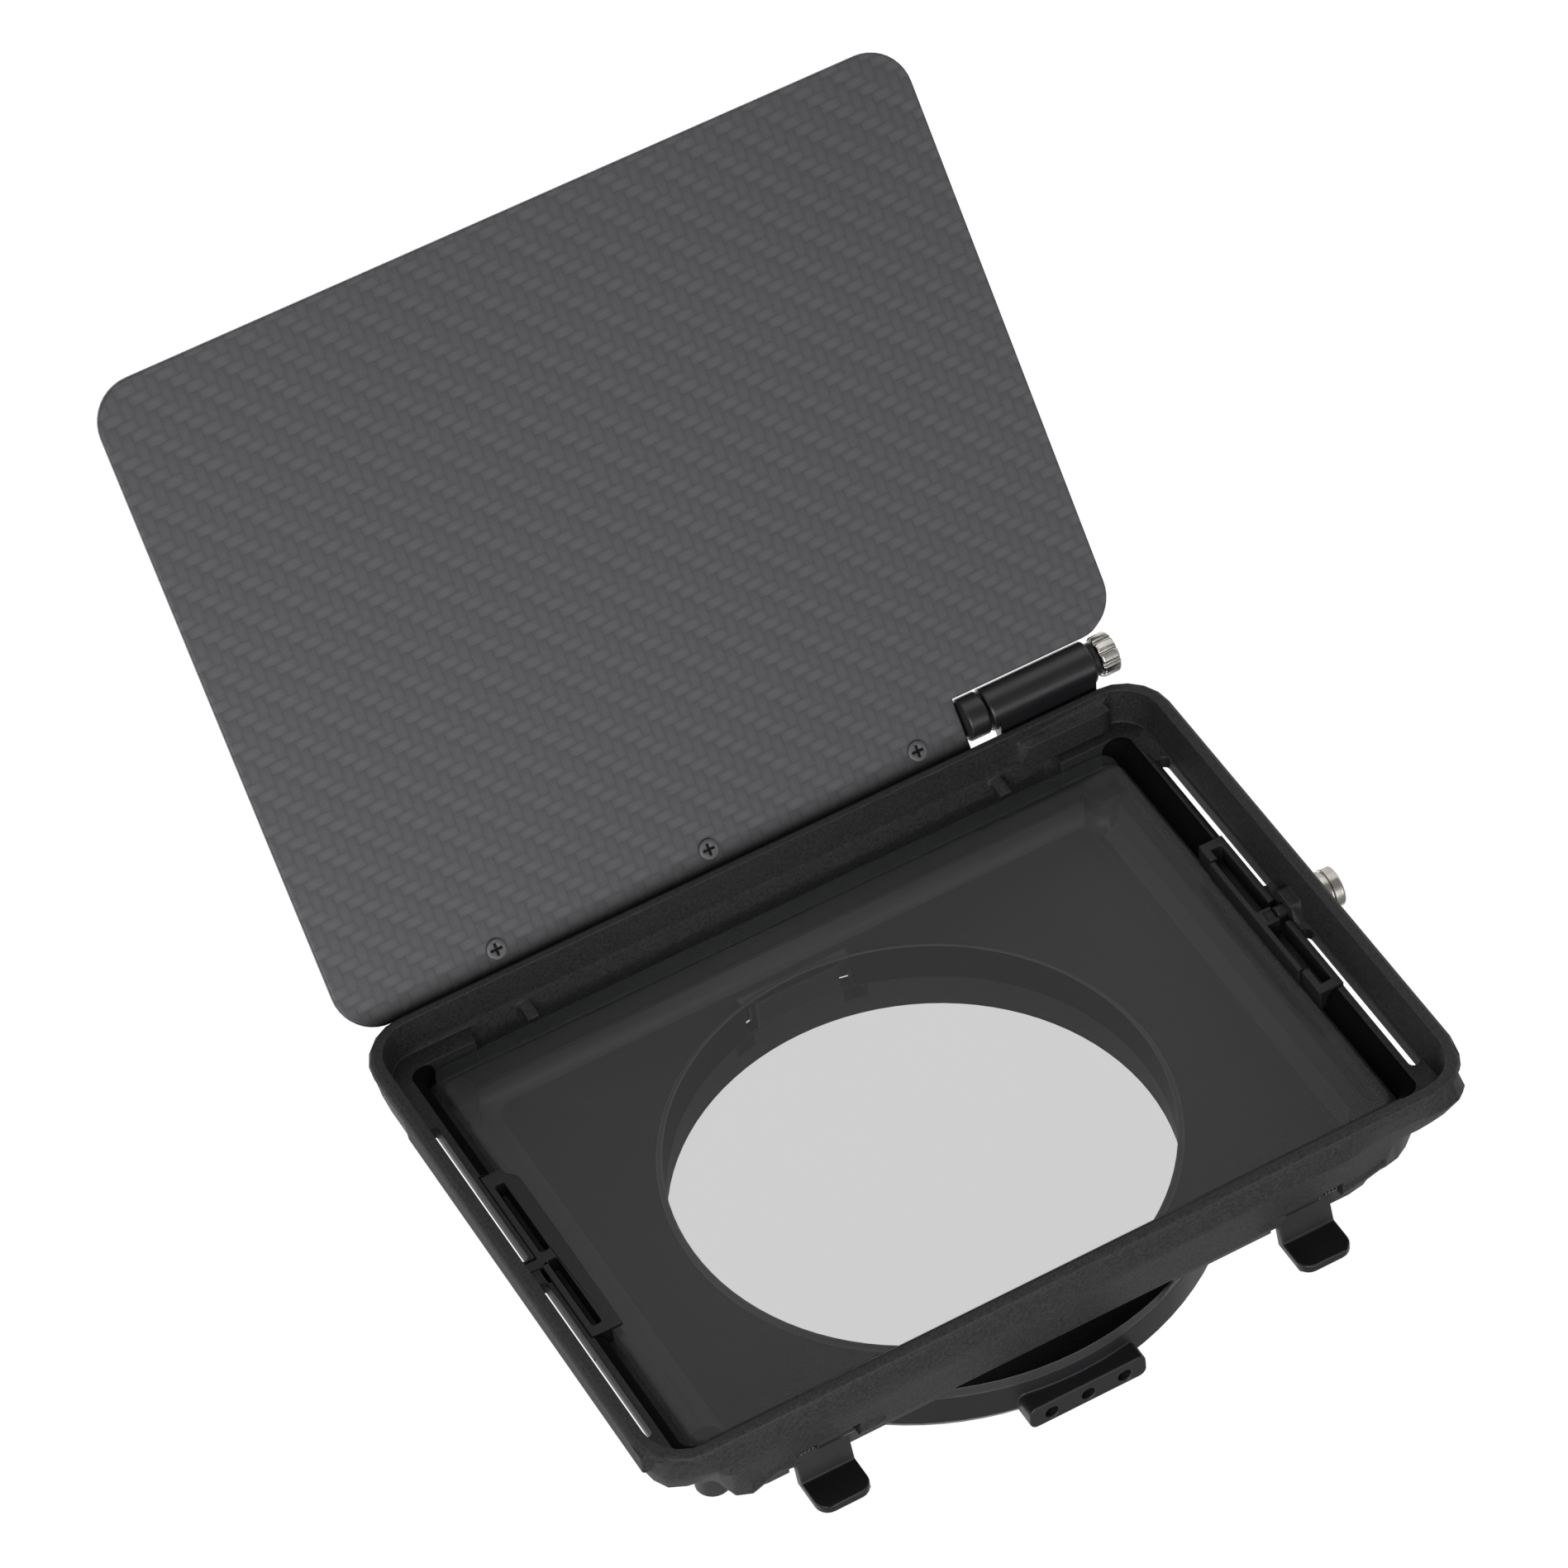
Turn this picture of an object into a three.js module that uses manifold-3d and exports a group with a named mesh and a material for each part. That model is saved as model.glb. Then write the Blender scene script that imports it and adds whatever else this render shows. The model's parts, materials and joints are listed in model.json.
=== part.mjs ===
import * as THREE from "three";
import { mergeVertices } from "three/addons/utils/BufferGeometryUtils.js";
import Module from "manifold-3d";

const wasm = await Module();
wasm.setup();

// A clip-on matte box: a hood with one filter stage, a folding top flag and a ring for the lens.
// Lengths are in mm. X runs to the right seen from the front, Y back towards the camera, Z up.
// Depths are measured back from the plane of the hood's front rim, heights from the optical axis.

// Whole object
const overrun = 2;
const runningGap = 0.3;

// Filter: a standard rectangle that everything round it follows
const filterWidth = 143.5;
const filterHeight = 101.6;
const filterThickness = 4;
const filterCentreHeight = 1.7;
const filterCornerRadius = 2.5;
const filterEdgeBevel = 0.35;
const filterHalfWidth = filterWidth / 2;
const filterBottom = filterCentreHeight - filterHeight / 2;
const filterTop = filterCentreHeight + filterHeight / 2;

// Depths from the rim's front plane to the lens end
const flatUndersideDepth = 6.4;
const ledgeFrontDepth = 8.5;
const ledgeThickness = 2.9;
const ledgeBackDepth = ledgeFrontDepth + ledgeThickness;
const filterSetback = 1.95;
const filterFrontDepth = ledgeFrontDepth + filterSetback;
const filterPivotSetback = 0.15;
const filterPivotDepth = filterFrontDepth + filterPivotSetback;
const seatDepth = filterFrontDepth + filterThickness + runningGap;
const hoodBehindSeat = 5.25;
const hoodBackDepth = seatDepth + hoodBehindSeat;
const trayFloorBehindHood = 5.2;
const trayFloorDepth = hoodBackDepth + trayFloorBehindHood;
const plateThickness = 2.4;
const stageBackDepth = trayFloorDepth + plateThickness;
const flangeSetback = 0.4;
const flangeFrontDepth = trayFloorDepth + flangeSetback;
const flangeBackDepth = stageBackDepth + flangeSetback;
const spigotLength = 8;
const spigotEndDepth = trayFloorDepth + spigotLength;
const ringStepDepth = spigotEndDepth + runningGap;
const ringBandLength = 7;
const ringShoulderDepth = flangeBackDepth + ringBandLength;
const ringChamferLength = 2.3;
const ringChamferDepth = ringShoulderDepth + ringChamferLength;
const collarLength = 4.6;
const boxDepth = ringChamferDepth + collarLength;

// Hood: front rim, walls and ledge
const sideBand = 12.05;
const rimMargin = 8.2;
const rimHalfWidth = filterHalfWidth + sideBand;
const rimHalfHeight = filterHeight / 2 + rimMargin;
const rimCornerRadius = 10;
const rimRoundDepth = 1.4;
const rimRoundInset = 0.9;
const wallStartDepth = 2;
const wallHalfWidth = rimHalfWidth - rimRoundInset;
const rimLip = 2.1;
const rimSideLip = 2.7;
const mouthHalfWidth = rimHalfWidth - rimSideLip;
const mouthHalfHeight = rimHalfHeight - rimLip;
const mouthCornerRadius = 8;
const mouthSideDraft = 1.4;
const mouthBottomDraft = 0.9;
const mouthBackHalfWidth = mouthHalfWidth - mouthSideDraft;
const mouthBackBottom = mouthBottomDraft - mouthHalfHeight;
const mouthBackCornerRadius = 6;
const ledgeBackInset = 2;
const ledgeBackHalfWidth = rimHalfWidth - ledgeBackInset;
const ledgeBackTopInset = 0.3;
const ledgeBackTop = rimHalfHeight - ledgeBackTopInset;
const undersideRise = 3.3;
const undersideShare = (ledgeBackDepth - flatUndersideDepth) / (hoodBackDepth - flatUndersideDepth);
const ledgeBackBottom = undersideRise * undersideShare - rimHalfHeight;
const hoodBackBottom = undersideRise - rimHalfHeight;
const topFall = 3;
const hoodBackTop = rimHalfHeight - topFall;
const housingWall = 5.2;
const housingHalfWidth = filterHalfWidth + housingWall;
const hoodBackWall = 3.5;
const hoodBackHalfWidth = filterHalfWidth + hoodBackWall;
const hoodBackCornerRadius = 10;
const topBandDepth = 7.5;
const topBandEndDepth = 11.8;
const topBandStep = 0.3;
const bayTop = mouthHalfHeight - topBandStep;
const topBandFall = 1;
const topBandEndHeight = mouthHalfHeight - topBandFall;
const topGapEndInset = 9.75;
const topGapHalfWidth = filterHalfWidth - topGapEndInset;

// Side rails along the outside of the hood
const railDepth = 5.4;
const railTopInset = 21;
const railTop = rimHalfHeight - railTopInset;
const railBottomInset = 6;
const railBottom = railBottomInset - rimHalfHeight;
const railThickness = 2.2;
const railRound = 1.2;

// Slots in the ledge
const slotWidth = 2.15;
const slotWallGap = 0.25;
const slotOuter = mouthBackHalfWidth - slotWallGap;
const slotInner = slotOuter - slotWidth;
const rightSlotTopInset = 8.7;
const rightSlotBottomInset = 3.7;
const rightUpperSlotTop = filterTop - rightSlotTopInset;
const rightUpperSlotBottom = 5.9;
const rightLowerSlotTop = -6.8;
const rightLowerSlotBottom = filterBottom + rightSlotBottomInset;
const leftSlotTopInset = 13.7;
const leftSlotBottomInset = 4.9;
const leftUpperSlotTop = filterTop - leftSlotTopInset;
const leftUpperSlotBottom = 2.3;
const leftLowerSlotTop = -3.7;
const leftLowerSlotBottom = filterBottom + leftSlotBottomInset;

// Filter bay with an open channel at both sides of the filter
const bayChannelWidth = 1.95;
const bayHalfWidth = filterHalfWidth + bayChannelWidth;
const bayBottom = filterBottom - runningGap;
const bayTopHeight = filterTop + runningGap;
const bayRoundWidth = 2.5;
const bayRoundHeight = 1.5;
const bayRoundDepth = 2.6;
const guideRibInset = 21.75;
const guideRibX = filterHalfWidth - guideRibInset;
const guideRibWidth = 2.2;
const guideRibFrontDepth = 8.4;
const guideRibBackDepth = 10.6;

// Tray behind the filter
const trayLeftLip = 1.15;
const trayRightLip = 0.85;
const trayBottomLip = 1.1;
const trayTopLip = 0.5;
const trayLeft = trayLeftLip - filterHalfWidth;
const trayRight = filterHalfWidth - trayRightLip;
const trayBottom = filterBottom + trayBottomLip;
const trayTop = filterTop - trayTopLip;
const trayCornerRadius = 3;
const leftCove = 9.1;
const rightCove = 4.6;
const bottomCove = 0.8;
const topCove = 1.8;
const trayFloorLeft = trayLeft + leftCove;
const trayFloorRight = trayRight - rightCove;
const trayFloorBottom = trayBottom + bottomCove;
const trayFloorTop = trayTop - topCove;
const trayFloorCornerRadius = 3.5;
const coveStartSetback = 0.6;
const coveMiddleSetback = 3.4;
const coveStartDepth = hoodBackDepth + coveStartSetback;
const coveMiddleDepth = hoodBackDepth + coveMiddleSetback;
const coveMiddleShare = 0.42;

// Rear stage: plate, aperture, spigot and flange
const stageSideWall = 0.65;
const stageHalfWidth = filterHalfWidth + stageSideWall;
const stageBackInset = 1.4;
const stageBackHalfWidth = stageHalfWidth - stageBackInset;
const stageBottomWall = 3.8;
const stageBottom = trayBottom - stageBottomWall;
const stageBottomRise = 1;
const stageBackBottom = stageBottom + stageBottomRise;
const stageTopWall = 3.4;
const stageTop = trayTop + stageTopWall;
const stageTopFall = 2.4;
const stageBackTop = stageTop - stageTopFall;
const stageCornerRadius = 11;
const apertureRadius = 47;
const beadWidth = 1.6;
const beadRadius = apertureRadius + beadWidth;
const beadHeight = 0.7;
const spigotWall = 2.5;
const spigotOuterRadius = apertureRadius + spigotWall;
const flangeWidth = 9.5;
const flangeRadius = apertureRadius + flangeWidth;

// Latch tab in the top of the spigot
const latchHalfWidth = 9.6;
const latchSideGap = 1.8;
const latchWindowHalfWidth = latchHalfWidth + latchSideGap;
const latchFrontSetback = 0.7;
const latchFrontDepth = trayFloorDepth + latchFrontSetback;
const latchWindowSetback = 0.1;
const latchWindowFrontDepth = trayFloorDepth + latchWindowSetback;
const latchEndSetback = 0.6;
const latchBackDepth = spigotEndDepth - latchEndSetback;
const latchStandProud = 0.8;
const latchInnerHeight = apertureRadius - latchStandProud;
const latchOuterCover = 1.2;
const latchOuterHeight = spigotOuterRadius - latchOuterCover;
const latchRoomSide = 4.4;
const latchRoomHalfWidth = latchHalfWidth + latchRoomSide;
const latchRoomSetback = 0.2;
const latchRoomFrontDepth = latchBackDepth + latchRoomSetback;

// Lens clamp ring
const ringOuterRadius = flangeRadius;
const ringChamferInset = 1.4;
const ringChamferRadius = ringOuterRadius - ringChamferInset;
const ringBoreStep = 0.7;
const ringBoreRadius = apertureRadius + ringBoreStep;
const ringFrontBoreRadius = spigotOuterRadius + runningGap;
const collarWall = 3.8;
const collarRadius = ringBoreRadius + collarWall;
const collarRound = 0.6;
const slitHalfWidth = 0.75;
const clampTurn = 90;
const earHalfWidth = 8;
const earStandProud = 1.9;
const earTop = ringOuterRadius + earStandProud;
const earLength = 5.4;
const earBackSetback = 0.1;
const earBackDepth = boxDepth - earBackSetback;
const earFrontDepth = earBackDepth - earLength;
const clampScrewRise = 3.4;
const clampScrewHeight = collarRadius + clampScrewRise;
const clampScrewSetback = 2.3;
const clampScrewDepth = boxDepth - clampScrewSetback;
const clampScrewRadius = 1.25;
const clampScrewHeadRadius = 1.95;
const clampScrewHeadLength = 2.6;
const clampScrewSocketRadius = 1.1;
const clampScrewSocketDepth = 1.4;
const clampScrewCover = 1.4;
const clampScrewEnd = clampScrewCover - earHalfWidth;
const blockHalfWidth = 12;
const blockStandProud = 3;
const blockBottom = -(ringOuterRadius + blockStandProud);
const blockRootInset = 0.2;
const blockTop = -(ringFrontBoreRadius + blockRootInset);
const blockSetback = 3.5;
const blockFrontDepth = flangeBackDepth + blockSetback;
const blockLength = 5.3;
const blockBackDepth = blockFrontDepth + blockLength;
const blockCornerRadius = 1.6;
const blockHolePitch = 7.5;
const blockHoleRadius = 1.35;
const blockHoleDepth = 4.6;
const blockHoleSetback = 3.1;
const blockHolePlaneDepth = blockFrontDepth + blockHoleSetback;

// Left ladder clip
const clipLip = 1.75;
const clipInner = clipLip - filterHalfWidth;
const clipWidth = 6.3;
const clipOuter = clipInner - clipWidth;
const clipSideGap = 0.2;
const clipBodyGap = 0.35;
const clipBodyInner = -(filterHalfWidth + clipBodyGap);
const clipTop = 23.8;
const clipChamfer = 3.2;
const clipBottom = -19.2;
const clipSetback = 0.1;
const clipFrontDepth = ledgeFrontDepth + clipSetback;
const clipLipThickness = 0.8;
const clipLipBackDepth = clipFrontDepth + clipLipThickness;
const clipBodyDepth = 4;
const clipFloorDepth = clipFrontDepth + clipBodyDepth;
const clipBar = 1.3;
const clipWindowOuter = clipOuter + clipBar;
const clipWindowWidth = 1.95;
const clipWindowInner = clipWindowOuter + clipWindowWidth;
const clipWindowRound = 0.6;
const clipWindowTop = 20.7;
const clipCrossbarTop = 2.7;
const clipCrossbarBottom = 0.4;
const clipWindowBottom = -17;
const clipArmEndGap = 0.7;
const clipArmEnd = clipArmEndGap - mouthBackHalfWidth;
const clipArmTop = 1.8;
const clipArmBottom = -0.4;
const clipArmThickness = 1.4;
const clipArmBackDepth = clipFrontDepth + clipArmThickness;
const armPitWidth = 0.8;
const armPitOuter = clipOuter - armPitWidth;
const armPitBottom = -4.4;
const armPitDepth = 2.4;
const armPitFloorDepth = ledgeFrontDepth + armPitDepth;

// Right clamp: bracket, pad and thumbscrew
const padInner = filterHalfWidth + runningGap;
const padWidth = 1.1;
const padOuter = padInner + padWidth;
const padTop = 15.9;
const padBottom = -15.2;
const padStandProud = 0.5;
const padFrontDepth = ledgeFrontDepth - padStandProud;
const padDepth = 4.2;
const padBackDepth = padFrontDepth + padDepth;
const bracketDepth = 4.6;
const clampFloorDepth = padFrontDepth + bracketDepth;
const stubLength = 2.75;
const stubEnd = padOuter + stubLength;
const stubTop = 1;
const stubBottom = -2.8;
const stubRidgeWidth = 0.8;
const stubRidgeStart = padOuter + stubRidgeWidth;
const bracketTipGap = 0.45;
const bracketInner = padInner + bracketTipGap;
const bracketSpineInner = stubEnd + runningGap;
const bracketSpineThickness = 1.35;
const bracketOuter = bracketSpineInner + bracketSpineThickness;
const bracketTop = 20.7;
const bracketBottom = -22;
const bracketHookThickness = 2;
const bracketTipWidth = 1.5;
const bracketTipTop = 16.3;
const bracketTipBottom = -15.6;
const pocketWall = 1.2;
const clampPocketRim = 0.75;
const clampPocketOuter = bracketOuter + clampPocketRim;
const clipPocketRim = 0.7;
const clipPocketOuter = clipOuter - clipPocketRim;
const spineWindowTop = 2;
const spineWindowBottom = -3.8;
const padTravel = 1.6;
const bossInner = stubEnd + padTravel + runningGap;
const bossTop = 3;
const bossBottom = -5;
const bossHeight = 3.1;
const bossFrontDepth = ledgeFrontDepth - bossHeight;
const bossSlope = 1.8;
const screwDepth = ledgeFrontDepth;
const screwHeight = -0.9;
const screwRadius = 1.3;
const screwTipGap = 0.1;
const screwTip = stubEnd + screwTipGap;
const knobGap = 0.4;
const knobStart = rimHalfWidth + knobGap;
const knobInnerDisc = 2;
const knobGrooveStart = knobStart + knobInnerDisc;
const knobGroove = 0.6;
const knobGrooveEnd = knobGrooveStart + knobGroove;
const knobOuterDisc = 2.1;
const knobEnd = knobGrooveEnd + knobOuterDisc;
const knobRadius = 4;
const knobGrooveRadius = 3.5;
const knobEdge = 0.3;

// Eject levers
const leverInset = 27.55;
const leverInner = filterHalfWidth - leverInset;
const leverWidth = 10.8;
const leverOuter = leverInner + leverWidth;
const leverBarrelShort = 3.4;
const leverBarrelOuter = leverOuter - leverBarrelShort;
const leverPivotSetback = 2;
const leverPivotDepth = hoodBackDepth - leverPivotSetback;
const leverPivotRise = 2.3;
const leverPivotHeight = hoodBackBottom + leverPivotRise;
const leverBarrelRadius = 2;
const leverRootLength = 2.5;
const leverRootRise = 1.4;
const leverBendLength = 10;
const leverBendFall = 0.6;
const leverThickness = 1.9;
const leverTabFall = 7.7;
const leverTabCornerRadius = 2.6;
const leverArmSide = 1.8;
const leverArmWidth = 5;
const leverArmInner = leverInner + leverArmSide;
const leverArmOuter = leverArmInner + leverArmWidth;
const leverArmAhead = 1.4;
const leverArmThickness = 1.6;
const leverArmReach = 2.7;
const leverArmTop = filterBottom + leverArmReach;
const leverBayInnerGap = 0.6;
const leverBayOuterGap = 0.7;
const leverBayInner = leverInner - leverBayInnerGap;
const leverBayOuter = leverOuter + leverBayOuterGap;
const leverBayAhead = 2.9;
const leverBayFrontDepth = leverPivotDepth - leverBayAhead;
const leverWindowGap = 0.4;
const leverWindowTop = leverArmTop + leverWindowGap;
const stageNotchRise = 4.2;
const stageNotchTop = leverPivotHeight + stageNotchRise;
const knuckleRadius = 2.9;
const knuckleInnerLength = 7.2;
const knuckleOuterLength = 11.5;
const knuckleInner = leverInner - knuckleInnerLength;
const knuckleOuter = leverOuter + knuckleOuterLength;
const knuckleTipRound = 1.6;
const pinRadius = 0.9;
const pinInnerLength = 4.7;
const pinOuterLength = 7;
const pinInner = leverInner - pinInnerLength;
const pinOuter = leverOuter + pinOuterLength;
const springGap = 0.7;
const springStart = leverBarrelOuter + springGap;
const springLength = 2.9;
const springEnd = springStart + springLength;
const springRadius = 1.45;
const springWireRadius = 0.22;
const springTurns = 4;

// Hinge and top flag
const hingeAhead = 2.15;
const hingeDepth = -hingeAhead;
const hingeRise = 4.6;
const hingeHeight = rimHalfHeight + hingeRise;
const flagAngle = 37.33;
const flagInset = 0.5;
const flagHalfWidth = rimHalfWidth - flagInset;
const flagThickness = 1.5;
const flagNear = 5.7;
const flagOverhang = 4;
const flagFar = -(rimHalfHeight * 2 + flagOverhang);
const flagCornerRadius = 8.5;
const flagEdgeBevel = 0.25;
const hingeBarrelRadius = 4.3;
const hingeBarrelEdge = 0.4;
const hingeBarrelInset = 8.9;
const hingeBarrelEnd = rimHalfWidth - hingeBarrelInset;
const hingeBarrelLength = 22.7;
const hingeBarrelStart = hingeBarrelEnd - hingeBarrelLength;
const earEnd = hingeBarrelStart - runningGap;
const earWidth = 4.5;
const earStart = earEnd - earWidth;
const notchSideGap = 0.4;
const flagNotchStart = earStart - notchSideGap;
const notchGap = 0.45;
const flagNotchFar = -(hingeBarrelRadius + notchGap);
const flagNotchCornerRadius = 8;
const leafInset = 25.3;
const leafStart = leafInset - flagHalfWidth;
const leafThickness = 1.5;
const leafNear = 3.4;
const leafFar = -3.6;
const leafCornerRadius = 1.5;
const hingeShaftRadius = 1.6;
const shaftInset = 1.6;
const hingeShaftStart = earStart + shaftInset;
const hingeBoreRadius = 1.95;
const washerRadius = 3.3;
const washerGap = 0.2;
const washerThickness = 1;
const washerStart = hingeBarrelEnd + washerGap;
const washerEnd = washerStart + washerThickness;
const tensionKnobRadius = 4.05;
const tensionKnobLength = 3.7;
const tensionKnobStart = washerEnd + washerGap;
const tensionKnobEnd = tensionKnobStart + tensionKnobLength;
const tensionKnobBevel = 0.35;
const tensionFluteRadius = 0.6;
const hingeShaftEnd = tensionKnobEnd - shaftInset;
const footStartInset = 1.3;
const footEndInset = 0.9;
const footStart = hingeBarrelStart + footStartInset;
const footEnd = hingeBarrelEnd - footEndInset;
const footNear = 1.2;
const footBack = 9.6;
const footThickness = 2.6;
const footTop = rimHalfHeight + footThickness;
const footScrewRadius = 1.1;
const footScrewHeadRadius = 2;
const footScrewHeadHeight = 1.3;
const footScrewDepth = 5.6;
const footScrewInset = 4.75;
const footScrewFirst = footStart + footScrewInset;
const footScrewLast = footEnd - footScrewInset;
const footScrewReach = 3.6;
const footScrewEnd = rimHalfHeight - footScrewReach;
const footBossInset = 1.1;
const footBossStart = footStart + footBossInset;
const footBossEnd = footEnd;
const footBossFront = 2.6;
const footBossBack = 8;
const footBossDrop = 4.4;
const footBossBottom = rimHalfHeight - footBossDrop;
const footBossSlope = 2.2;
const flagScrewY = 1.39;
const flagScrewInset = 31.7;
const flagScrewFirst = flagScrewInset - flagHalfWidth;
const flagScrewLastGap = 10.3;
const flagScrewPitch = (earStart - flagScrewLastGap - flagScrewFirst) / 2;
const flagScrewHeadRadius = 1.95;
const flagScrewHeadHeight = 0.6;
const flagScrewRadius = 1;
const crossWidth = 0.5;
const crossLength = 2.4;
const crossDepth = 0.35;

// Small screws inside
const stageScrewSideInset = 3.75;
const stageScrewX = filterHalfWidth - stageScrewSideInset;
const stageScrewCornerInset = 2.8;
const stageScrewBottomHeight = trayBottom + stageScrewCornerInset;
const stageScrewTopHeight = trayTop - stageScrewCornerInset;
const stageScrewBossRadius = 3.4;
const stageScrewBossLength = 4;
const stageScrewBossDepth = hoodBackDepth - stageScrewBossLength;
const stageScrewRadius = 1.1;
const stageScrewReach = 3;
const stageScrewStartDepth = hoodBackDepth - stageScrewReach;
const stageScrewHeadRadius = 2.1;
const stageScrewHeadHeight = 1.4;

// Numbers of facets
const roundFacets = 96;
const smallRoundFacets = 24;
const pinFacets = 16;
const cornerFacets = 5;
const springFacetsPerTurn = 12;
const springWireFacets = 6;
const knobFlutes = 10;

// Turns a three.js geometry into a solid for cutting and joining.
function solid(geometry) {
  const bare = geometry.clone();
  bare.deleteAttribute("normal");
  bare.deleteAttribute("uv");
  const merged = mergeVertices(bare, 1e-4);
  const vertProperties = new Float32Array(merged.attributes.position.array);
  const triVerts = new Uint32Array(merged.index.array);
  return new wasm.Manifold(new wasm.Mesh({ numProp: 3, vertProperties, triVerts }));
}

// Turns a solid back into a three.js geometry.
function geometryOf(body) {
  const mesh = body.getMesh();
  const points = new Float32Array(mesh.numVert * 3);
  for (let i = 0; i < mesh.numVert; i += 1) {
    for (let axis = 0; axis < 3; axis += 1) {
      points[3 * i + axis] = mesh.vertProperties[mesh.numProp * i + axis];
    }
  }
  const geometry = new THREE.BufferGeometry();
  geometry.setAttribute("position", new THREE.BufferAttribute(points, 3));
  geometry.setIndex(Array.from(mesh.triVerts));
  geometry.computeVertexNormals();
  return geometry;
}

// Points of a rectangle with round corners, counter-clockwise, as pairs across and up.
function roundedOutline(left, bottom, right, top, radius) {
  const points = [];
  const corners = [
    [right - radius, bottom + radius, -Math.PI / 2],
    [right - radius, top - radius, 0],
    [left + radius, top - radius, Math.PI / 2],
    [left + radius, bottom + radius, Math.PI],
  ];
  for (const [centreX, centreY, start] of corners) {
    for (let i = 0; i <= cornerFacets; i += 1) {
      const angle = start + (Math.PI / 2) * (i / cornerFacets);
      points.push([centreX + radius * Math.cos(angle), centreY + radius * Math.sin(angle)]);
    }
  }
  return points;
}

// A body with one rounded outline after another along the depth.
function loft(sections) {
  const rings = sections.map((s) => ({
    depth: s.depth,
    outline: roundedOutline(s.left, s.bottom, s.right, s.top, s.radius),
  }));
  const count = rings[0].outline.length;
  const points = [];
  const index = [];
  for (const ring of rings) {
    for (const [x, z] of ring.outline) {
      points.push(x, ring.depth, z);
    }
  }
  for (let level = 0; level + 1 < rings.length; level += 1) {
    for (let i = 0; i < count; i += 1) {
      const near = level * count + i;
      const nearNext = level * count + ((i + 1) % count);
      index.push(near, near + count, nearNext, nearNext, near + count, nearNext + count);
    }
  }
  const last = (rings.length - 1) * count;
  for (let i = 1; i + 1 < count; i += 1) {
    index.push(0, i, i + 1);
    index.push(last, last + i + 1, last + i);
  }
  const geometry = new THREE.BufferGeometry();
  geometry.setAttribute("position", new THREE.Float32BufferAttribute(points, 3));
  geometry.setIndex(index);
  return solid(geometry);
}

// One section of a loft that is the same on the left and on the right.
function evenSection(depth, halfWidth, bottom, top, radius) {
  return { depth, left: -halfWidth, right: halfWidth, bottom, top, radius };
}

function shapeOf(points) {
  return new THREE.Shape(points.map(([x, y]) => new THREE.Vector2(x, y)));
}

// An outline in x and z, drawn out along the depth.
function alongDepth(points, front, back) {
  const geometry = new THREE.ExtrudeGeometry(shapeOf(points), { depth: back - front, bevelEnabled: false });
  geometry.rotateX(Math.PI / 2).translate(0, back, 0);
  return solid(geometry);
}

// An outline in depth and height, drawn out along x.
function alongWidth(points, start, end) {
  const geometry = new THREE.ExtrudeGeometry(shapeOf(points), { depth: end - start, bevelEnabled: false });
  const turn = new THREE.Matrix4().makeBasis(
    new THREE.Vector3(0, 1, 0),
    new THREE.Vector3(0, 0, 1),
    new THREE.Vector3(1, 0, 0),
  );
  geometry.applyMatrix4(turn).translate(start, 0, 0);
  return solid(geometry);
}

// An outline in x and depth, drawn out along the height.
function alongHeight(points, bottom, top) {
  const geometry = new THREE.ExtrudeGeometry(shapeOf(points), { depth: top - bottom, bevelEnabled: false });
  geometry.translate(0, 0, bottom);
  return solid(geometry);
}

function block(left, right, front, back, bottom, top) {
  const outline = [[left, bottom], [right, bottom], [right, top], [left, top]];
  return alongDepth(outline, front, back);
}

// A profile of radius and distance, turned about the y axis.
function turned(profile, facets) {
  const points = profile.map(([radius, distance]) => new THREE.Vector2(radius, distance));
  return solid(new THREE.LatheGeometry(points, facets));
}

// A profile of radius and x, turned about a line along x through the given depth and height.
function turnedAboutWidth(profile, facets, depth, height) {
  return turned(profile, facets).rotate([0, 0, -90]).translate([0, depth, height]);
}

// A profile of radius and height, turned about an upright line.
function turnedAboutHeight(profile, facets, x, depth) {
  return turned(profile, facets).rotate([90, 0, 0]).translate([x, depth, 0]);
}

function rod(radius, start, end) {
  return [[0, start], [radius, start], [radius, end], [0, end]];
}

function bevelledRod(radius, start, end, bevel) {
  return [
    [0, start],
    [radius - bevel, start],
    [radius, start + bevel],
    [radius, end - bevel],
    [radius - bevel, end],
    [0, end],
  ];
}

function join(bodies) {
  return bodies.reduce((whole, body) => whole.add(body));
}

function cut(body, tools) {
  return tools.reduce((rest, tool) => rest.subtract(tool), body);
}

function mirrored(body) {
  return body.mirror([1, 0, 0]);
}

// Hood
const rimInnerHalfWidth = rimHalfWidth - rimRoundInset;
const rimInnerHalfHeight = rimHalfHeight - rimRoundInset;
const roundMiddleShare = 0.3;
const rimMiddleHalfWidth = rimHalfWidth - rimRoundInset * roundMiddleShare;
const rimMiddleHalfHeight = rimHalfHeight - rimRoundInset * roundMiddleShare;

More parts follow.
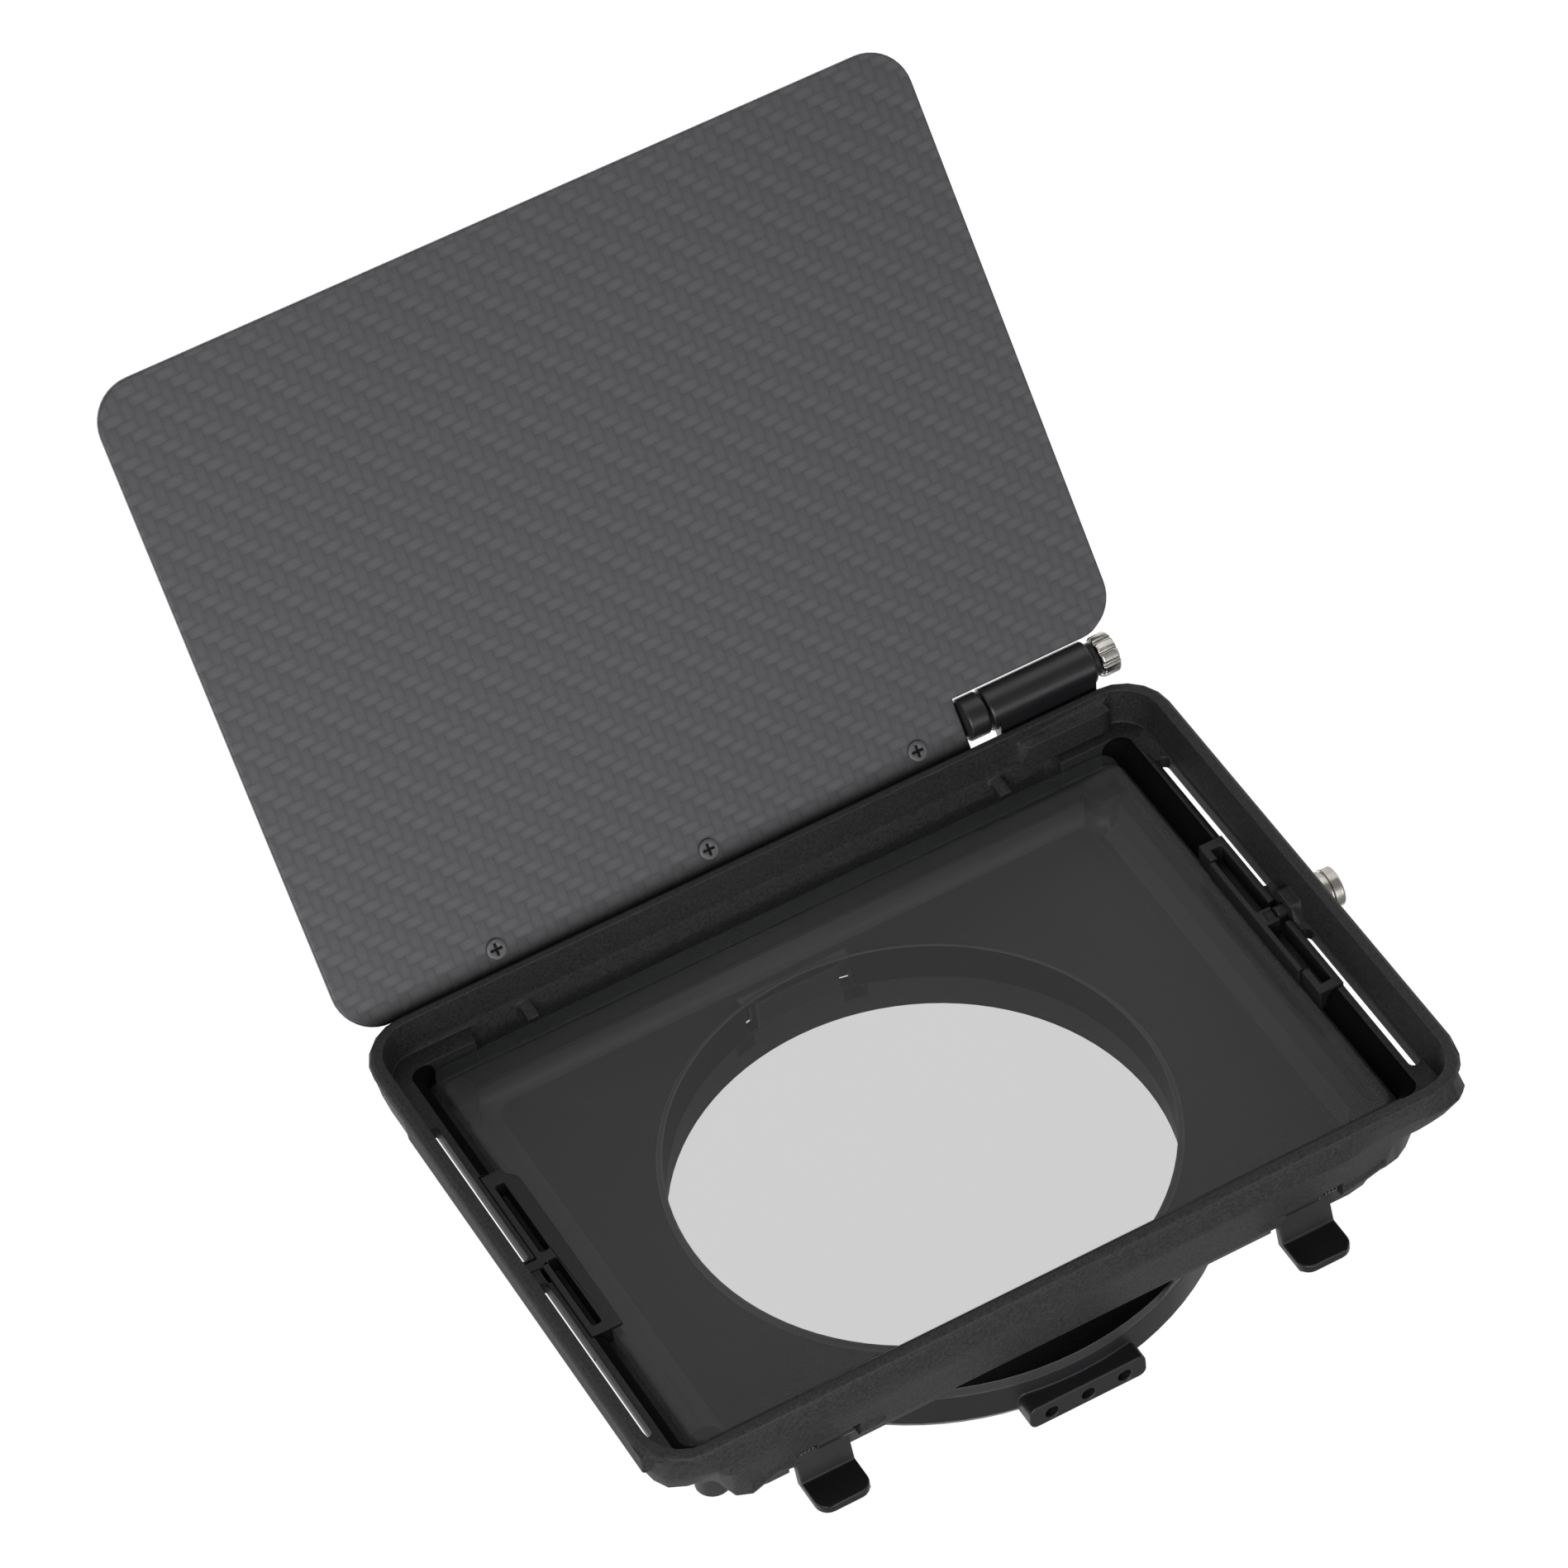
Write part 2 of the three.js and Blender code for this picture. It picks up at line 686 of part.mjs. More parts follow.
function hoodOutside() {
  const front = loft([
    evenSection(0, rimInnerHalfWidth, -rimInnerHalfHeight, rimInnerHalfHeight, rimCornerRadius - rimRoundInset),
    evenSection(rimRoundDepth * roundMiddleShare, rimMiddleHalfWidth, -rimMiddleHalfHeight,
      rimMiddleHalfHeight, rimCornerRadius),
    evenSection(rimRoundDepth, rimHalfWidth, -rimHalfHeight, rimHalfHeight, rimCornerRadius),
    evenSection(wallStartDepth, wallHalfWidth, -rimHalfHeight, rimHalfHeight, rimCornerRadius),
    evenSection(flatUndersideDepth, wallHalfWidth, -rimHalfHeight, rimHalfHeight, rimCornerRadius),
    evenSection(ledgeBackDepth, ledgeBackHalfWidth, ledgeBackBottom, ledgeBackTop, hoodBackCornerRadius),
  ]);
  const back = loft([
    evenSection(flatUndersideDepth, housingHalfWidth, -rimHalfHeight, rimHalfHeight, hoodBackCornerRadius),
    evenSection(hoodBackDepth, hoodBackHalfWidth, hoodBackBottom, hoodBackTop, hoodBackCornerRadius),
  ]);
  const rail = loft([
    {
      depth: rimRoundDepth, left: rimHalfWidth - railThickness, right: rimHalfWidth,
      bottom: railBottom, top: railTop, radius: railRound / 2,
    },
    {
      depth: railDepth, left: rimHalfWidth - railThickness, right: rimHalfWidth,
      bottom: railBottom, top: railTop - railRound, radius: railRound / 2,
    },
  ]);
  return join([front, back, rail, mirrored(rail)]);
}

function hoodInside() {
  const mouth = loft([
    evenSection(-overrun, mouthHalfWidth, -mouthHalfHeight, mouthHalfHeight, mouthCornerRadius),
    evenSection(0, mouthHalfWidth, -mouthHalfHeight, mouthHalfHeight, mouthCornerRadius),
    evenSection(topBandDepth, mouthBackHalfWidth, mouthBackBottom, mouthHalfHeight, mouthBackCornerRadius),
    evenSection(ledgeFrontDepth, mouthBackHalfWidth, mouthBackBottom, bayTop, mouthBackCornerRadius),
  ]);
  const bayEntry = [];
  for (let i = 0; i <= cornerFacets; i += 1) {
    const angle = (Math.PI / 2) * (i / cornerFacets);
    const widening = 1 - Math.sin(angle);
    bayEntry.push(evenSection(ledgeFrontDepth + bayRoundDepth * (1 - Math.cos(angle)),
      bayHalfWidth + bayRoundWidth * widening, bayBottom - bayRoundHeight * widening, bayTopHeight,
      trayCornerRadius));
  }
  const bay = loft([
    { ...bayEntry[0], depth: ledgeFrontDepth - overrun },
    ...bayEntry,
    evenSection(seatDepth, bayHalfWidth, bayBottom, bayTopHeight, trayCornerRadius),
  ]);
  const topGap = loft([
    evenSection(ledgeFrontDepth - overrun, topGapHalfWidth, 0, bayTop, trayCornerRadius),
    evenSection(ledgeFrontDepth, topGapHalfWidth, 0, bayTop, trayCornerRadius),
    evenSection(topBandEndDepth, topGapHalfWidth, 0, topBandEndHeight, trayCornerRadius),
    evenSection(seatDepth, topGapHalfWidth, 0, topBandEndHeight, trayCornerRadius),
  ]);
  const tray = loft([
    { depth: seatDepth - overrun, left: trayLeft, right: trayRight, bottom: trayBottom, top: trayTop,
      radius: trayCornerRadius },
    { depth: hoodBackDepth + overrun, left: trayLeft, right: trayRight, bottom: trayBottom, top: trayTop,
      radius: trayCornerRadius },
  ]);
  return join([mouth, bay, topGap, tray]);
}

function ledgeSlot(bottom, top) {
  const radius = (slotOuter - slotInner) / 2;
  const outline = roundedOutline(slotInner, bottom, slotOuter, top, radius);
  return alongDepth(outline, ledgeFrontDepth - overrun, ledgeBackDepth + overrun);
}

// Rounded bosses along the hinge line of one lever, on both sides of its bay.
function leverKnuckles() {
  const profile = [
    [0, knuckleInner],
    [knuckleRadius - knuckleTipRound, knuckleInner],
    [knuckleRadius, knuckleInner + knuckleTipRound],
    [knuckleRadius, knuckleOuter - knuckleTipRound],
    [knuckleRadius - knuckleTipRound, knuckleOuter],
    [0, knuckleOuter],
  ];
  return turnedAboutWidth(profile, smallRoundFacets, leverPivotDepth - runningGap, leverPivotHeight - runningGap);
}

function leverBay() {
  const bay = block(leverBayInner, leverBayOuter, leverBayFrontDepth, hoodBackDepth + overrun,
    -rimHalfHeight - overrun, leverWindowTop);
  const pinHole = turnedAboutWidth(rod(pinRadius + runningGap / 3, pinInner, pinOuter), pinFacets,
    leverPivotDepth, leverPivotHeight);
  return bay.add(pinHole);
}

const stageScrewPlaces = [
  [-stageScrewX, stageScrewBottomHeight],
  [stageScrewX, stageScrewBottomHeight],
  [-stageScrewX, stageScrewTopHeight],
  [stageScrewX, stageScrewTopHeight],
];

function depthRodAt(radius, front, back, x, height, facets) {
  return turned(rod(radius, front, back), facets).translate([x, 0, height]);
}

const footScrewPlaces = [footScrewFirst, footScrewLast];

function heightRodAt(radius, bottom, top, x, depth) {
  return turnedAboutHeight(rod(radius, bottom, top), pinFacets, x, depth);
}

function hoodFrame() {
  const shell = hoodOutside().subtract(hoodInside());
  const knuckle = leverKnuckles();
  const knuckleTrim = join([
    block(-rimHalfWidth, rimHalfWidth, hoodBackDepth, hoodBackDepth + boxDepth, -rimHalfWidth, 0),
    block(-rimHalfWidth, rimHalfWidth, seatDepth, hoodBackDepth + overrun, trayBottom - runningGap, 0),
  ]);
  const knuckles = knuckle.add(mirrored(knuckle)).subtract(knuckleTrim);
  const ribProfile = [
    [guideRibFrontDepth, mouthHalfHeight + runningGap],
    [guideRibFrontDepth + guideRibWidth / 2, filterTop + runningGap],
    [guideRibBackDepth, filterTop + runningGap],
    [guideRibBackDepth, mouthHalfHeight + runningGap],
  ];
  const rib = alongWidth(ribProfile, guideRibX - guideRibWidth / 2, guideRibX + guideRibWidth / 2);
  const footBoss = alongDepth([
    [footBossStart + footBossSlope, footBossBottom],
    [footBossEnd, footBossBottom],
    [footBossEnd, mouthHalfHeight + runningGap],
    [footBossStart, mouthHalfHeight + runningGap],
  ], footBossFront, footBossBack);
  const screwBoss = alongWidth([
    [bossFrontDepth, bossBottom + bossSlope],
    [ledgeFrontDepth, bossBottom],
    [ledgeBackDepth, bossBottom],
    [ledgeBackDepth, bossTop],
    [ledgeFrontDepth, bossTop],
    [bossFrontDepth, bossTop - bossSlope],
  ], bossInner, mouthHalfWidth);
  const cornerBosses = stageScrewPlaces.map(([x, height]) =>
    depthRodAt(stageScrewBossRadius, stageScrewBossDepth, hoodBackDepth, x, height, smallRoundFacets));
  const clampPocket = block(bayHalfWidth, clampPocketOuter, ledgeBackDepth - runningGap,
    clampFloorDepth + pocketWall, bracketBottom - pocketWall, bracketTop + pocketWall);
  const clipPocket = block(clipPocketOuter, -bayHalfWidth, ledgeBackDepth - runningGap,
    clipFloorDepth + pocketWall, clipBottom - pocketWall, clipTop + pocketWall);
  const body = join([shell, knuckles, rib, mirrored(rib), footBoss, screwBoss, clipPocket, ...cornerBosses]);

  const slots = [
    ledgeSlot(rightUpperSlotBottom, rightUpperSlotTop),
    ledgeSlot(rightLowerSlotBottom, rightLowerSlotTop),
    mirrored(ledgeSlot(leftUpperSlotBottom, leftUpperSlotTop)),
    mirrored(ledgeSlot(leftLowerSlotBottom, leftLowerSlotTop)),
  ];
  const whole = cut(body, slots).add(clampPocket);
  const clampRecess = block(filterHalfWidth, bracketOuter + runningGap / 2, ledgeFrontDepth - overrun,
    clampFloorDepth, bracketBottom - runningGap, bracketTop + runningGap);
  const bossKeep = block(bossInner, rimHalfWidth, 0, boxDepth, bossBottom, bossTop);
  const stubRoom = block(filterHalfWidth, bossInner, ledgeFrontDepth - overrun, clampFloorDepth,
    spineWindowBottom, spineWindowTop);
  const clipRecess = block(clipOuter - clipSideGap, -filterHalfWidth, ledgeFrontDepth - overrun,
    clipFloorDepth, clipBottom - runningGap, clipTop + runningGap);
  const armRecess = block(clipArmEnd - runningGap, clipOuter + overrun, ledgeFrontDepth - overrun,
    clipArmBackDepth, clipArmBottom - runningGap, clipArmTop + runningGap);
  const armPit = block(armPitOuter, clipOuter + runningGap, ledgeFrontDepth - overrun, armPitFloorDepth,
    armPitBottom, clipArmBottom);
  const thumbscrewHole = turnedAboutWidth(rod(screwRadius + runningGap, bracketSpineInner, knobEnd),
    pinFacets, screwDepth, screwHeight);
  const bay = leverBay();
  const screwHoles = stageScrewPlaces.map(([x, height]) =>
    depthRodAt(stageScrewRadius + runningGap, stageScrewStartDepth - runningGap, hoodBackDepth + overrun,
      x, height, pinFacets));
  const footHoles = footScrewPlaces.map((x) =>
    heightRodAt(footScrewRadius + runningGap, footScrewEnd - runningGap, rimHalfHeight + overrun,
      x, footScrewDepth));
  return cut(whole, [
    clampRecess.subtract(bossKeep), stubRoom, clipRecess, armRecess, armPit,
    thumbscrewHole, bay, mirrored(bay), ...screwHoles, ...footHoles,
  ]);
}

// Rear stage
function rearStage() {
  const outside = loft([
    evenSection(hoodBackDepth, stageHalfWidth, stageBottom, stageTop, stageCornerRadius),
    evenSection(stageBackDepth, stageBackHalfWidth, stageBackBottom, stageBackTop, stageCornerRadius),
  ]);
  const dish = loft([
    { depth: hoodBackDepth - overrun, left: trayLeft, right: trayRight, bottom: trayBottom, top: trayTop,
      radius: trayCornerRadius },
    { depth: coveStartDepth, left: trayLeft, right: trayRight, bottom: trayBottom, top: trayTop,
      radius: trayCornerRadius },
    {
      depth: coveMiddleDepth,
      left: trayLeft + (trayFloorLeft - trayLeft) * coveMiddleShare,
      right: trayRight + (trayFloorRight - trayRight) * coveMiddleShare,
      bottom: trayBottom,
      top: trayTop + (trayFloorTop - trayTop) * coveMiddleShare,
      radius: trayCornerRadius,
    },
    { depth: trayFloorDepth, left: trayFloorLeft, right: trayFloorRight, bottom: trayFloorBottom,
      top: trayFloorTop, radius: trayFloorCornerRadius },
  ]);
  const bead = turned([
    [apertureRadius - runningGap, trayFloorDepth - beadHeight],
    [apertureRadius + beadHeight / 2, trayFloorDepth - beadHeight],
    [beadRadius, trayFloorDepth + runningGap],
    [apertureRadius - runningGap, trayFloorDepth + runningGap],
    [apertureRadius - runningGap, trayFloorDepth - beadHeight],
  ], roundFacets);
  const spigot = turned(rod(spigotOuterRadius, trayFloorDepth + runningGap, spigotEndDepth), roundFacets);
  const flange = turned(rod(flangeRadius, flangeFrontDepth, flangeBackDepth), roundFacets);
  const bore = turned(rod(apertureRadius, hoodBackDepth, boxDepth), roundFacets);
  const latchWindow = block(-latchWindowHalfWidth, latchWindowHalfWidth, latchWindowFrontDepth,
    latchBackDepth, 0, latchOuterHeight + runningGap);
  const notch = block(leverBayInner, leverBayOuter, hoodBackDepth - overrun, boxDepth,
    stageBottom - overrun, stageNotchTop);
  const screwHoles = stageScrewPlaces.map(([x, height]) =>
    depthRodAt(stageScrewRadius + runningGap, hoodBackDepth - overrun, boxDepth, x, height, pinFacets));
  const plate = outside.subtract(dish).add(bead);
  const cornerBosses = stageScrewPlaces.map(([x, height]) =>
    depthRodAt(stageScrewBossRadius, hoodBackDepth, stageBackDepth, x, height, smallRoundFacets));
  const whole = join([plate, spigot, flange, ...cornerBosses]);
  return cut(whole, [bore, latchWindow, notch, mirrored(notch), ...screwHoles]);
}

function apertureLatch() {
  return block(-latchHalfWidth, latchHalfWidth, latchFrontDepth, latchBackDepth,
    latchInnerHeight, latchOuterHeight);
}

// Brings what closes the ring from its top to its left side.
function atClampSide(body) {
  return body.rotate([0, -clampTurn, 0]);
}

// Ring that clamps on the front of the lens
function clampRing() {
  const ring = turned([
    [ringFrontBoreRadius, flangeBackDepth],
    [ringOuterRadius, flangeBackDepth],
    [ringOuterRadius, ringShoulderDepth],
    [ringChamferRadius, ringChamferDepth],
    [collarRadius, ringChamferDepth],
    [collarRadius, boxDepth - collarRound],
    [collarRadius - collarRound, boxDepth],
    [ringBoreRadius, boxDepth],
    [ringBoreRadius, ringStepDepth],
    [ringFrontBoreRadius, ringStepDepth],
    [ringFrontBoreRadius, flangeBackDepth],
  ], roundFacets);
  const blockOutline = roundedOutline(-blockHalfWidth, blockFrontDepth, blockHalfWidth, blockBackDepth,
    blockCornerRadius);
  const accessoryBlock = alongHeight(blockOutline, blockBottom, blockTop);
  const earOutline = roundedOutline(-earHalfWidth, earFrontDepth, earHalfWidth, earBackDepth, blockCornerRadius);
  const ears = alongHeight(earOutline, collarRadius - blockCornerRadius, earTop);
  const bore = turned(rod(ringBoreRadius, ringStepDepth - overrun, boxDepth + overrun), roundFacets);
  const blockHoles = [-blockHolePitch, 0, blockHolePitch].map((x) =>
    heightRodAt(blockHoleRadius, blockBottom - overrun, blockBottom + blockHoleDepth, x, blockHolePlaneDepth));
  const slit = block(-slitHalfWidth, slitHalfWidth, ringChamferDepth - overrun, boxDepth + overrun,
    0, earTop + overrun);
  const screwHole = turnedAboutWidth(rod(clampScrewRadius + runningGap, clampScrewEnd - runningGap,
    earHalfWidth + overrun), pinFacets, clampScrewDepth, clampScrewHeight);
  const latchRoom = block(-latchRoomHalfWidth, latchRoomHalfWidth, latchRoomFrontDepth, ringChamferDepth,
    0, earTop);
  const bridge = block(-latchHalfWidth, latchHalfWidth, 0, boxDepth, 0, earTop);
  const innerStep = turned(rod(ringFrontBoreRadius, 0, boxDepth), roundFacets);
  const solidParts = join([ring, accessoryBlock, atClampSide(ears.subtract(bore))]);
  return cut(solidParts, [
    ...blockHoles, atClampSide(slit), atClampSide(screwHole), latchRoom.subtract(bridge.intersect(innerStep)),
  ]);
}

function ringClampScrew() {
  const headEnd = earHalfWidth + clampScrewHeadLength;
  const screw = turnedAboutWidth([
    [0, clampScrewEnd],
    [clampScrewRadius, clampScrewEnd],
    [clampScrewRadius, earHalfWidth],
    [clampScrewHeadRadius, earHalfWidth],
    [clampScrewHeadRadius, headEnd],
    [0, headEnd],
  ], pinFacets, clampScrewDepth, clampScrewHeight);
  const hexFacets = 6;
  const socket = turnedAboutWidth(rod(clampScrewSocketRadius, headEnd - clampScrewSocketDepth, headEnd + overrun),
    hexFacets, clampScrewDepth, clampScrewHeight);
  return atClampSide(screw.subtract(socket));
}

// Filter glass, round its own swing line at its left front edge
function filterGlass() {
  const outline = roundedOutline(0, filterBottom, filterWidth, filterTop, filterCornerRadius);
  const inset = filterEdgeBevel;
  const front = filterFrontDepth - filterPivotDepth;
  const back = front + filterThickness;
  const edge = { left: 0, right: filterWidth, bottom: filterBottom, top: filterTop, radius: filterCornerRadius };
  const small = {
    left: inset, right: filterWidth - inset, bottom: filterBottom + inset, top: filterTop - inset,
    radius: filterCornerRadius,
  };
  const bevelled = loft([
    { depth: front, ...small },
    { depth: front + inset, ...edge },
    { depth: back - inset, ...edge },
    { depth: back, ...small },
  ]);
  return bevelled.intersect(alongDepth(outline, front - overrun, back + overrun));
}

// Left clip with two windows, a lip over the filter and an arm to the wall
function leftClip() {
  const outline = [
    [clipOuter, clipBottom],
    [clipInner, clipBottom],
    [clipInner, clipTop - clipChamfer],
    [clipInner - clipChamfer, clipTop],
    [clipOuter, clipTop],
  ];
  const face = alongDepth(outline, clipFrontDepth, clipLipBackDepth);
  const body = block(clipOuter, clipBodyInner, clipFrontDepth, clipFloorDepth, clipBottom, clipTop);
  const arm = block(clipArmEnd, clipOuter + runningGap, clipFrontDepth, clipArmBackDepth,
    clipArmBottom, clipArmTop);
  const upperWindow = alongDepth(roundedOutline(clipWindowOuter, clipCrossbarTop, clipWindowInner,
    clipWindowTop, clipWindowRound), 0, boxDepth);
  const lowerWindow = alongDepth(roundedOutline(clipWindowOuter, clipWindowBottom, clipWindowInner,
    clipCrossbarBottom, clipWindowRound), 0, boxDepth);
  return cut(join([face, body, arm]), [upperWindow, lowerWindow]);
}

function clampBracket() {
  const spine = block(bracketSpineInner, bracketOuter, padFrontDepth, clampFloorDepth, bracketBottom, bracketTop);
  const topHook = block(bracketInner, bracketOuter, padFrontDepth, clampFloorDepth,
    bracketTop - bracketHookThickness, bracketTop);
  const topTip = block(bracketInner, bracketInner + bracketTipWidth, padFrontDepth, clampFloorDepth,
    bracketTipTop, bracketTop);
  const bottomHook = block(bracketInner, bracketOuter, padFrontDepth, clampFloorDepth,
    bracketBottom, bracketBottom + bracketHookThickness);
  const bottomTip = block(bracketInner, bracketInner + bracketTipWidth, padFrontDepth, clampFloorDepth,
    bracketBottom, bracketTipBottom);
  const window = block(bracketSpineInner - overrun, bracketOuter + overrun, padFrontDepth - overrun,
    clampFloorDepth - runningGap, spineWindowBottom, spineWindowTop);
  return join([spine, topHook, topTip, bottomHook, bottomTip]).subtract(window);
}

function clampPad() {
  const bar = block(padInner, padOuter, padFrontDepth, padBackDepth, padBottom, padTop);
  const stub = block(padOuter - runningGap, stubEnd, padFrontDepth, padBackDepth, stubBottom, stubTop);
  const grooveTop = stubTop - stubRidgeWidth;
  const groove = block(stubRidgeStart, stubEnd + overrun, padFrontDepth - overrun,
    padFrontDepth + stubRidgeWidth / 2, stubBottom + stubRidgeWidth, grooveTop);
  return join([bar, stub]).subtract(groove);
}

function thumbscrew() {
  return turnedAboutWidth([
    [0, screwTip],
    [screwRadius, screwTip],
    [screwRadius, knobStart],
    [knobRadius - knobEdge, knobStart],
    [knobRadius, knobStart + knobEdge],
    [knobRadius, knobGrooveStart],
    [knobGrooveRadius, knobGrooveStart],
    [knobGrooveRadius, knobGrooveEnd],
    [knobRadius, knobGrooveEnd],
    [knobRadius, knobEnd - knobEdge],
    [knobRadius - knobEdge, knobEnd],
    [0, knobEnd],
  ], smallRoundFacets, 0, 0);
}

// Eject lever, built for the right side round its own pivot line
function ejectLever() {
  const plate = alongWidth([
    [0, leverRootRise],
    [leverRootLength, leverRootRise],
    [leverBendLength, -leverBendFall],
    [leverBendLength, -leverTabFall],
    [leverBendLength + leverThickness, -leverTabFall],
    [leverBendLength + leverThickness, leverThickness - leverBendFall],
    [leverRootLength, leverRootRise + leverThickness],
    [0, leverRootRise + leverThickness / 2],
  ], leverInner, leverOuter);
  const tabOutline = roundedOutline(leverInner, -leverTabFall, leverOuter, boxDepth, leverTabCornerRadius);
  const tabShape = alongDepth(tabOutline, -boxDepth, boxDepth);
  const barrel = turnedAboutWidth(rod(leverBarrelRadius, leverInner, leverBarrelOuter), smallRoundFacets, 0, 0);
  const arm = block(leverArmInner, leverArmOuter, -leverArmAhead, leverArmThickness - leverArmAhead,
    0, leverArmTop - leverPivotHeight);
  const springRoom = block(leverBarrelOuter, leverOuter + overrun, -leverPivotDepth,
    leverRootLength, -leverPivotDepth, leverPivotDepth);
  const hole = turnedAboutWidth(rod(pinRadius + runningGap, leverInner - overrun, leverOuter + overrun),
    pinFacets, 0, 0);
  return cut(join([plate.intersect(tabShape).subtract(springRoom), barrel, arm]), [hole]);
}

function leverPin() {
  return turnedAboutWidth(rod(pinRadius, pinInner + runningGap, pinOuter - runningGap), pinFacets,
    leverPivotDepth, leverPivotHeight);
}

class SpringCurve extends THREE.Curve {
  getPoint(share, target = new THREE.Vector3()) {
    const angle = share * springTurns * Math.PI * 2;
    const x = springStart + (springEnd - springStart) * share;
    return target.set(
      x,
      leverPivotDepth + springRadius * Math.cos(angle),
      leverPivotHeight + springRadius * Math.sin(angle),
    );
  }
}

function leverSpring() {
  const wire = [];
  for (let i = 0; i < springWireFacets; i += 1) {
    const angle = (i / springWireFacets) * Math.PI * 2;
    wire.push([springWireRadius * Math.cos(angle), springWireRadius * Math.sin(angle)]);
  }
  const geometry = new THREE.ExtrudeGeometry(shapeOf(wire), {
    steps: springTurns * springFacetsPerTurn,
    bevelEnabled: false,
    extrudePath: new SpringCurve(),
  });
  return solid(geometry);
}

function stageScrew([x, height]) {
  const head = stageBackDepth + stageScrewHeadHeight;
  const screw = turned([
    [0, stageScrewStartDepth],
    [stageScrewRadius, stageScrewStartDepth],
    [stageScrewRadius, stageBackDepth],
    [stageScrewHeadRadius, stageBackDepth],
    [stageScrewHeadRadius, head],
    [0, head],
  ], pinFacets);
  return screw.translate([x, 0, height]);
}

// Hinge block on the hood's top wall
function hingeBarrel() {
  const barrel = turnedAboutWidth(bevelledRod(hingeBarrelRadius, hingeBarrelStart, hingeBarrelEnd,
    hingeBarrelEdge), smallRoundFacets * 2, hingeDepth, hingeHeight);
  const foot = alongWidth([
    [hingeDepth, hingeHeight],
    [hingeDepth, hingeHeight - hingeBarrelRadius],
    [footNear, hingeHeight - hingeBarrelRadius],
    [footNear, rimHalfHeight],
    [footBack, rimHalfHeight],
    [footBack, footTop],
    [footNear + hingeBarrelRadius / 2, footTop],
    [footNear, hingeHeight],
  ], footStart, footEnd);
  const bore = turnedAboutWidth(rod(hingeBoreRadius, hingeBarrelStart - overrun, hingeBarrelEnd + overrun),
    pinFacets, hingeDepth, hingeHeight);
  const holes = footScrewPlaces.map((x) =>
    heightRodAt(footScrewRadius + runningGap, rimHalfHeight - overrun, footTop + overrun, x, footScrewDepth));
  return cut(join([barrel, foot]), [bore, ...holes]);
}

function footScrew(x) {
  return turnedAboutHeight([
    [0, footScrewEnd],
    [footScrewRadius, footScrewEnd],
    [footScrewRadius, footTop],
    [footScrewHeadRadius, footTop],
    [footScrewHeadRadius, footTop + footScrewHeadHeight],
    [0, footTop + footScrewHeadHeight],
  ], pinFacets, x, footScrewDepth);
}

// Flag parts, built flat round the hinge line
const plateBottom = -flagThickness / 2;
const plateTop = flagThickness / 2;
const flagScrewPlaces = [0, 1, 2].map((i) => flagScrewFirst + i * flagScrewPitch);

function arcPoints(centreX, centreY, radius, start, end) {
  const points = [];
  for (let i = 0; i <= cornerFacets * 2; i += 1) {
    const angle = start + (end - start) * (i / (cornerFacets * 2));
    points.push([centreX + radius * Math.cos(angle), centreY + radius * Math.sin(angle)]);
  }
  return points;
}

function flagOutline() {
  const radius = flagCornerRadius;
  const quarter = Math.PI / 2;
  return [
    ...arcPoints(-flagHalfWidth + radius, flagFar + radius, radius, Math.PI, Math.PI + quarter),
    ...arcPoints(flagHalfWidth - radius, flagFar + radius, radius, -quarter, 0),
    ...arcPoints(flagHalfWidth - flagNotchCornerRadius, flagNotchFar - flagNotchCornerRadius,
      flagNotchCornerRadius, 0, quarter),
    [flagNotchStart, flagNotchFar],
    [flagNotchStart, flagNear],
    ...arcPoints(-flagHalfWidth + radius, flagNear - radius, radius, quarter, Math.PI),
  ];
}

function flagPanel() {
  const geometry = new THREE.ExtrudeGeometry(shapeOf(flagOutline()), {
    depth: flagThickness - flagEdgeBevel * 2,
    bevelThickness: flagEdgeBevel,
    bevelSize: flagEdgeBevel,
    bevelOffset: -flagEdgeBevel,
    bevelSegments: 1,
  });
  geometry.translate(0, 0, plateBottom + flagEdgeBevel);
  const holes = flagScrewPlaces.map((x) =>
    heightRodAt(flagScrewRadius + runningGap, plateBottom - overrun, plateTop + overrun, x, flagScrewY));
  return cut(solid(geometry), holes);
}

function flagLeaf() {
  const strip = alongHeight(roundedOutline(leafStart, leafFar, earEnd - leafCornerRadius, leafNear, leafCornerRadius),
    plateTop, plateTop + leafThickness);
  const ear = turnedAboutWidth(bevelledRod(hingeBarrelRadius, earStart, earEnd, hingeBarrelEdge),
    smallRoundFacets * 2, 0, 0);
  const shaftHole = turnedAboutWidth(rod(hingeBoreRadius, hingeShaftStart, earEnd + overrun), pinFacets, 0, 0);
  const holes = flagScrewPlaces.map((x) =>
    heightRodAt(flagScrewRadius + runningGap, plateTop - overrun, plateTop + leafThickness + overrun, x, flagScrewY));
  return cut(join([strip, ear]), [shaftHole, ...holes]);
}

function flagScrew(x) {
  const headBottom = plateBottom - flagScrewHeadHeight;
  const screw = turnedAboutHeight([
    [0, headBottom],
    [flagScrewHeadRadius, headBottom],
    [flagScrewHeadRadius, plateBottom],
    [flagScrewRadius, plateBottom],
    [flagScrewRadius, plateTop + leafThickness],
    [0, plateTop + leafThickness],
  ], pinFacets, x, flagScrewY);
  const slotAcross = block(x - crossLength / 2, x + crossLength / 2, flagScrewY - crossWidth / 2,
    flagScrewY + crossWidth / 2, headBottom - overrun, headBottom + crossDepth);
  const slotAlong = block(x - crossWidth / 2, x + crossWidth / 2, flagScrewY - crossLength / 2,
    flagScrewY + crossLength / 2, headBottom - overrun, headBottom + crossDepth);
  return cut(screw, [slotAcross, slotAlong]);
}

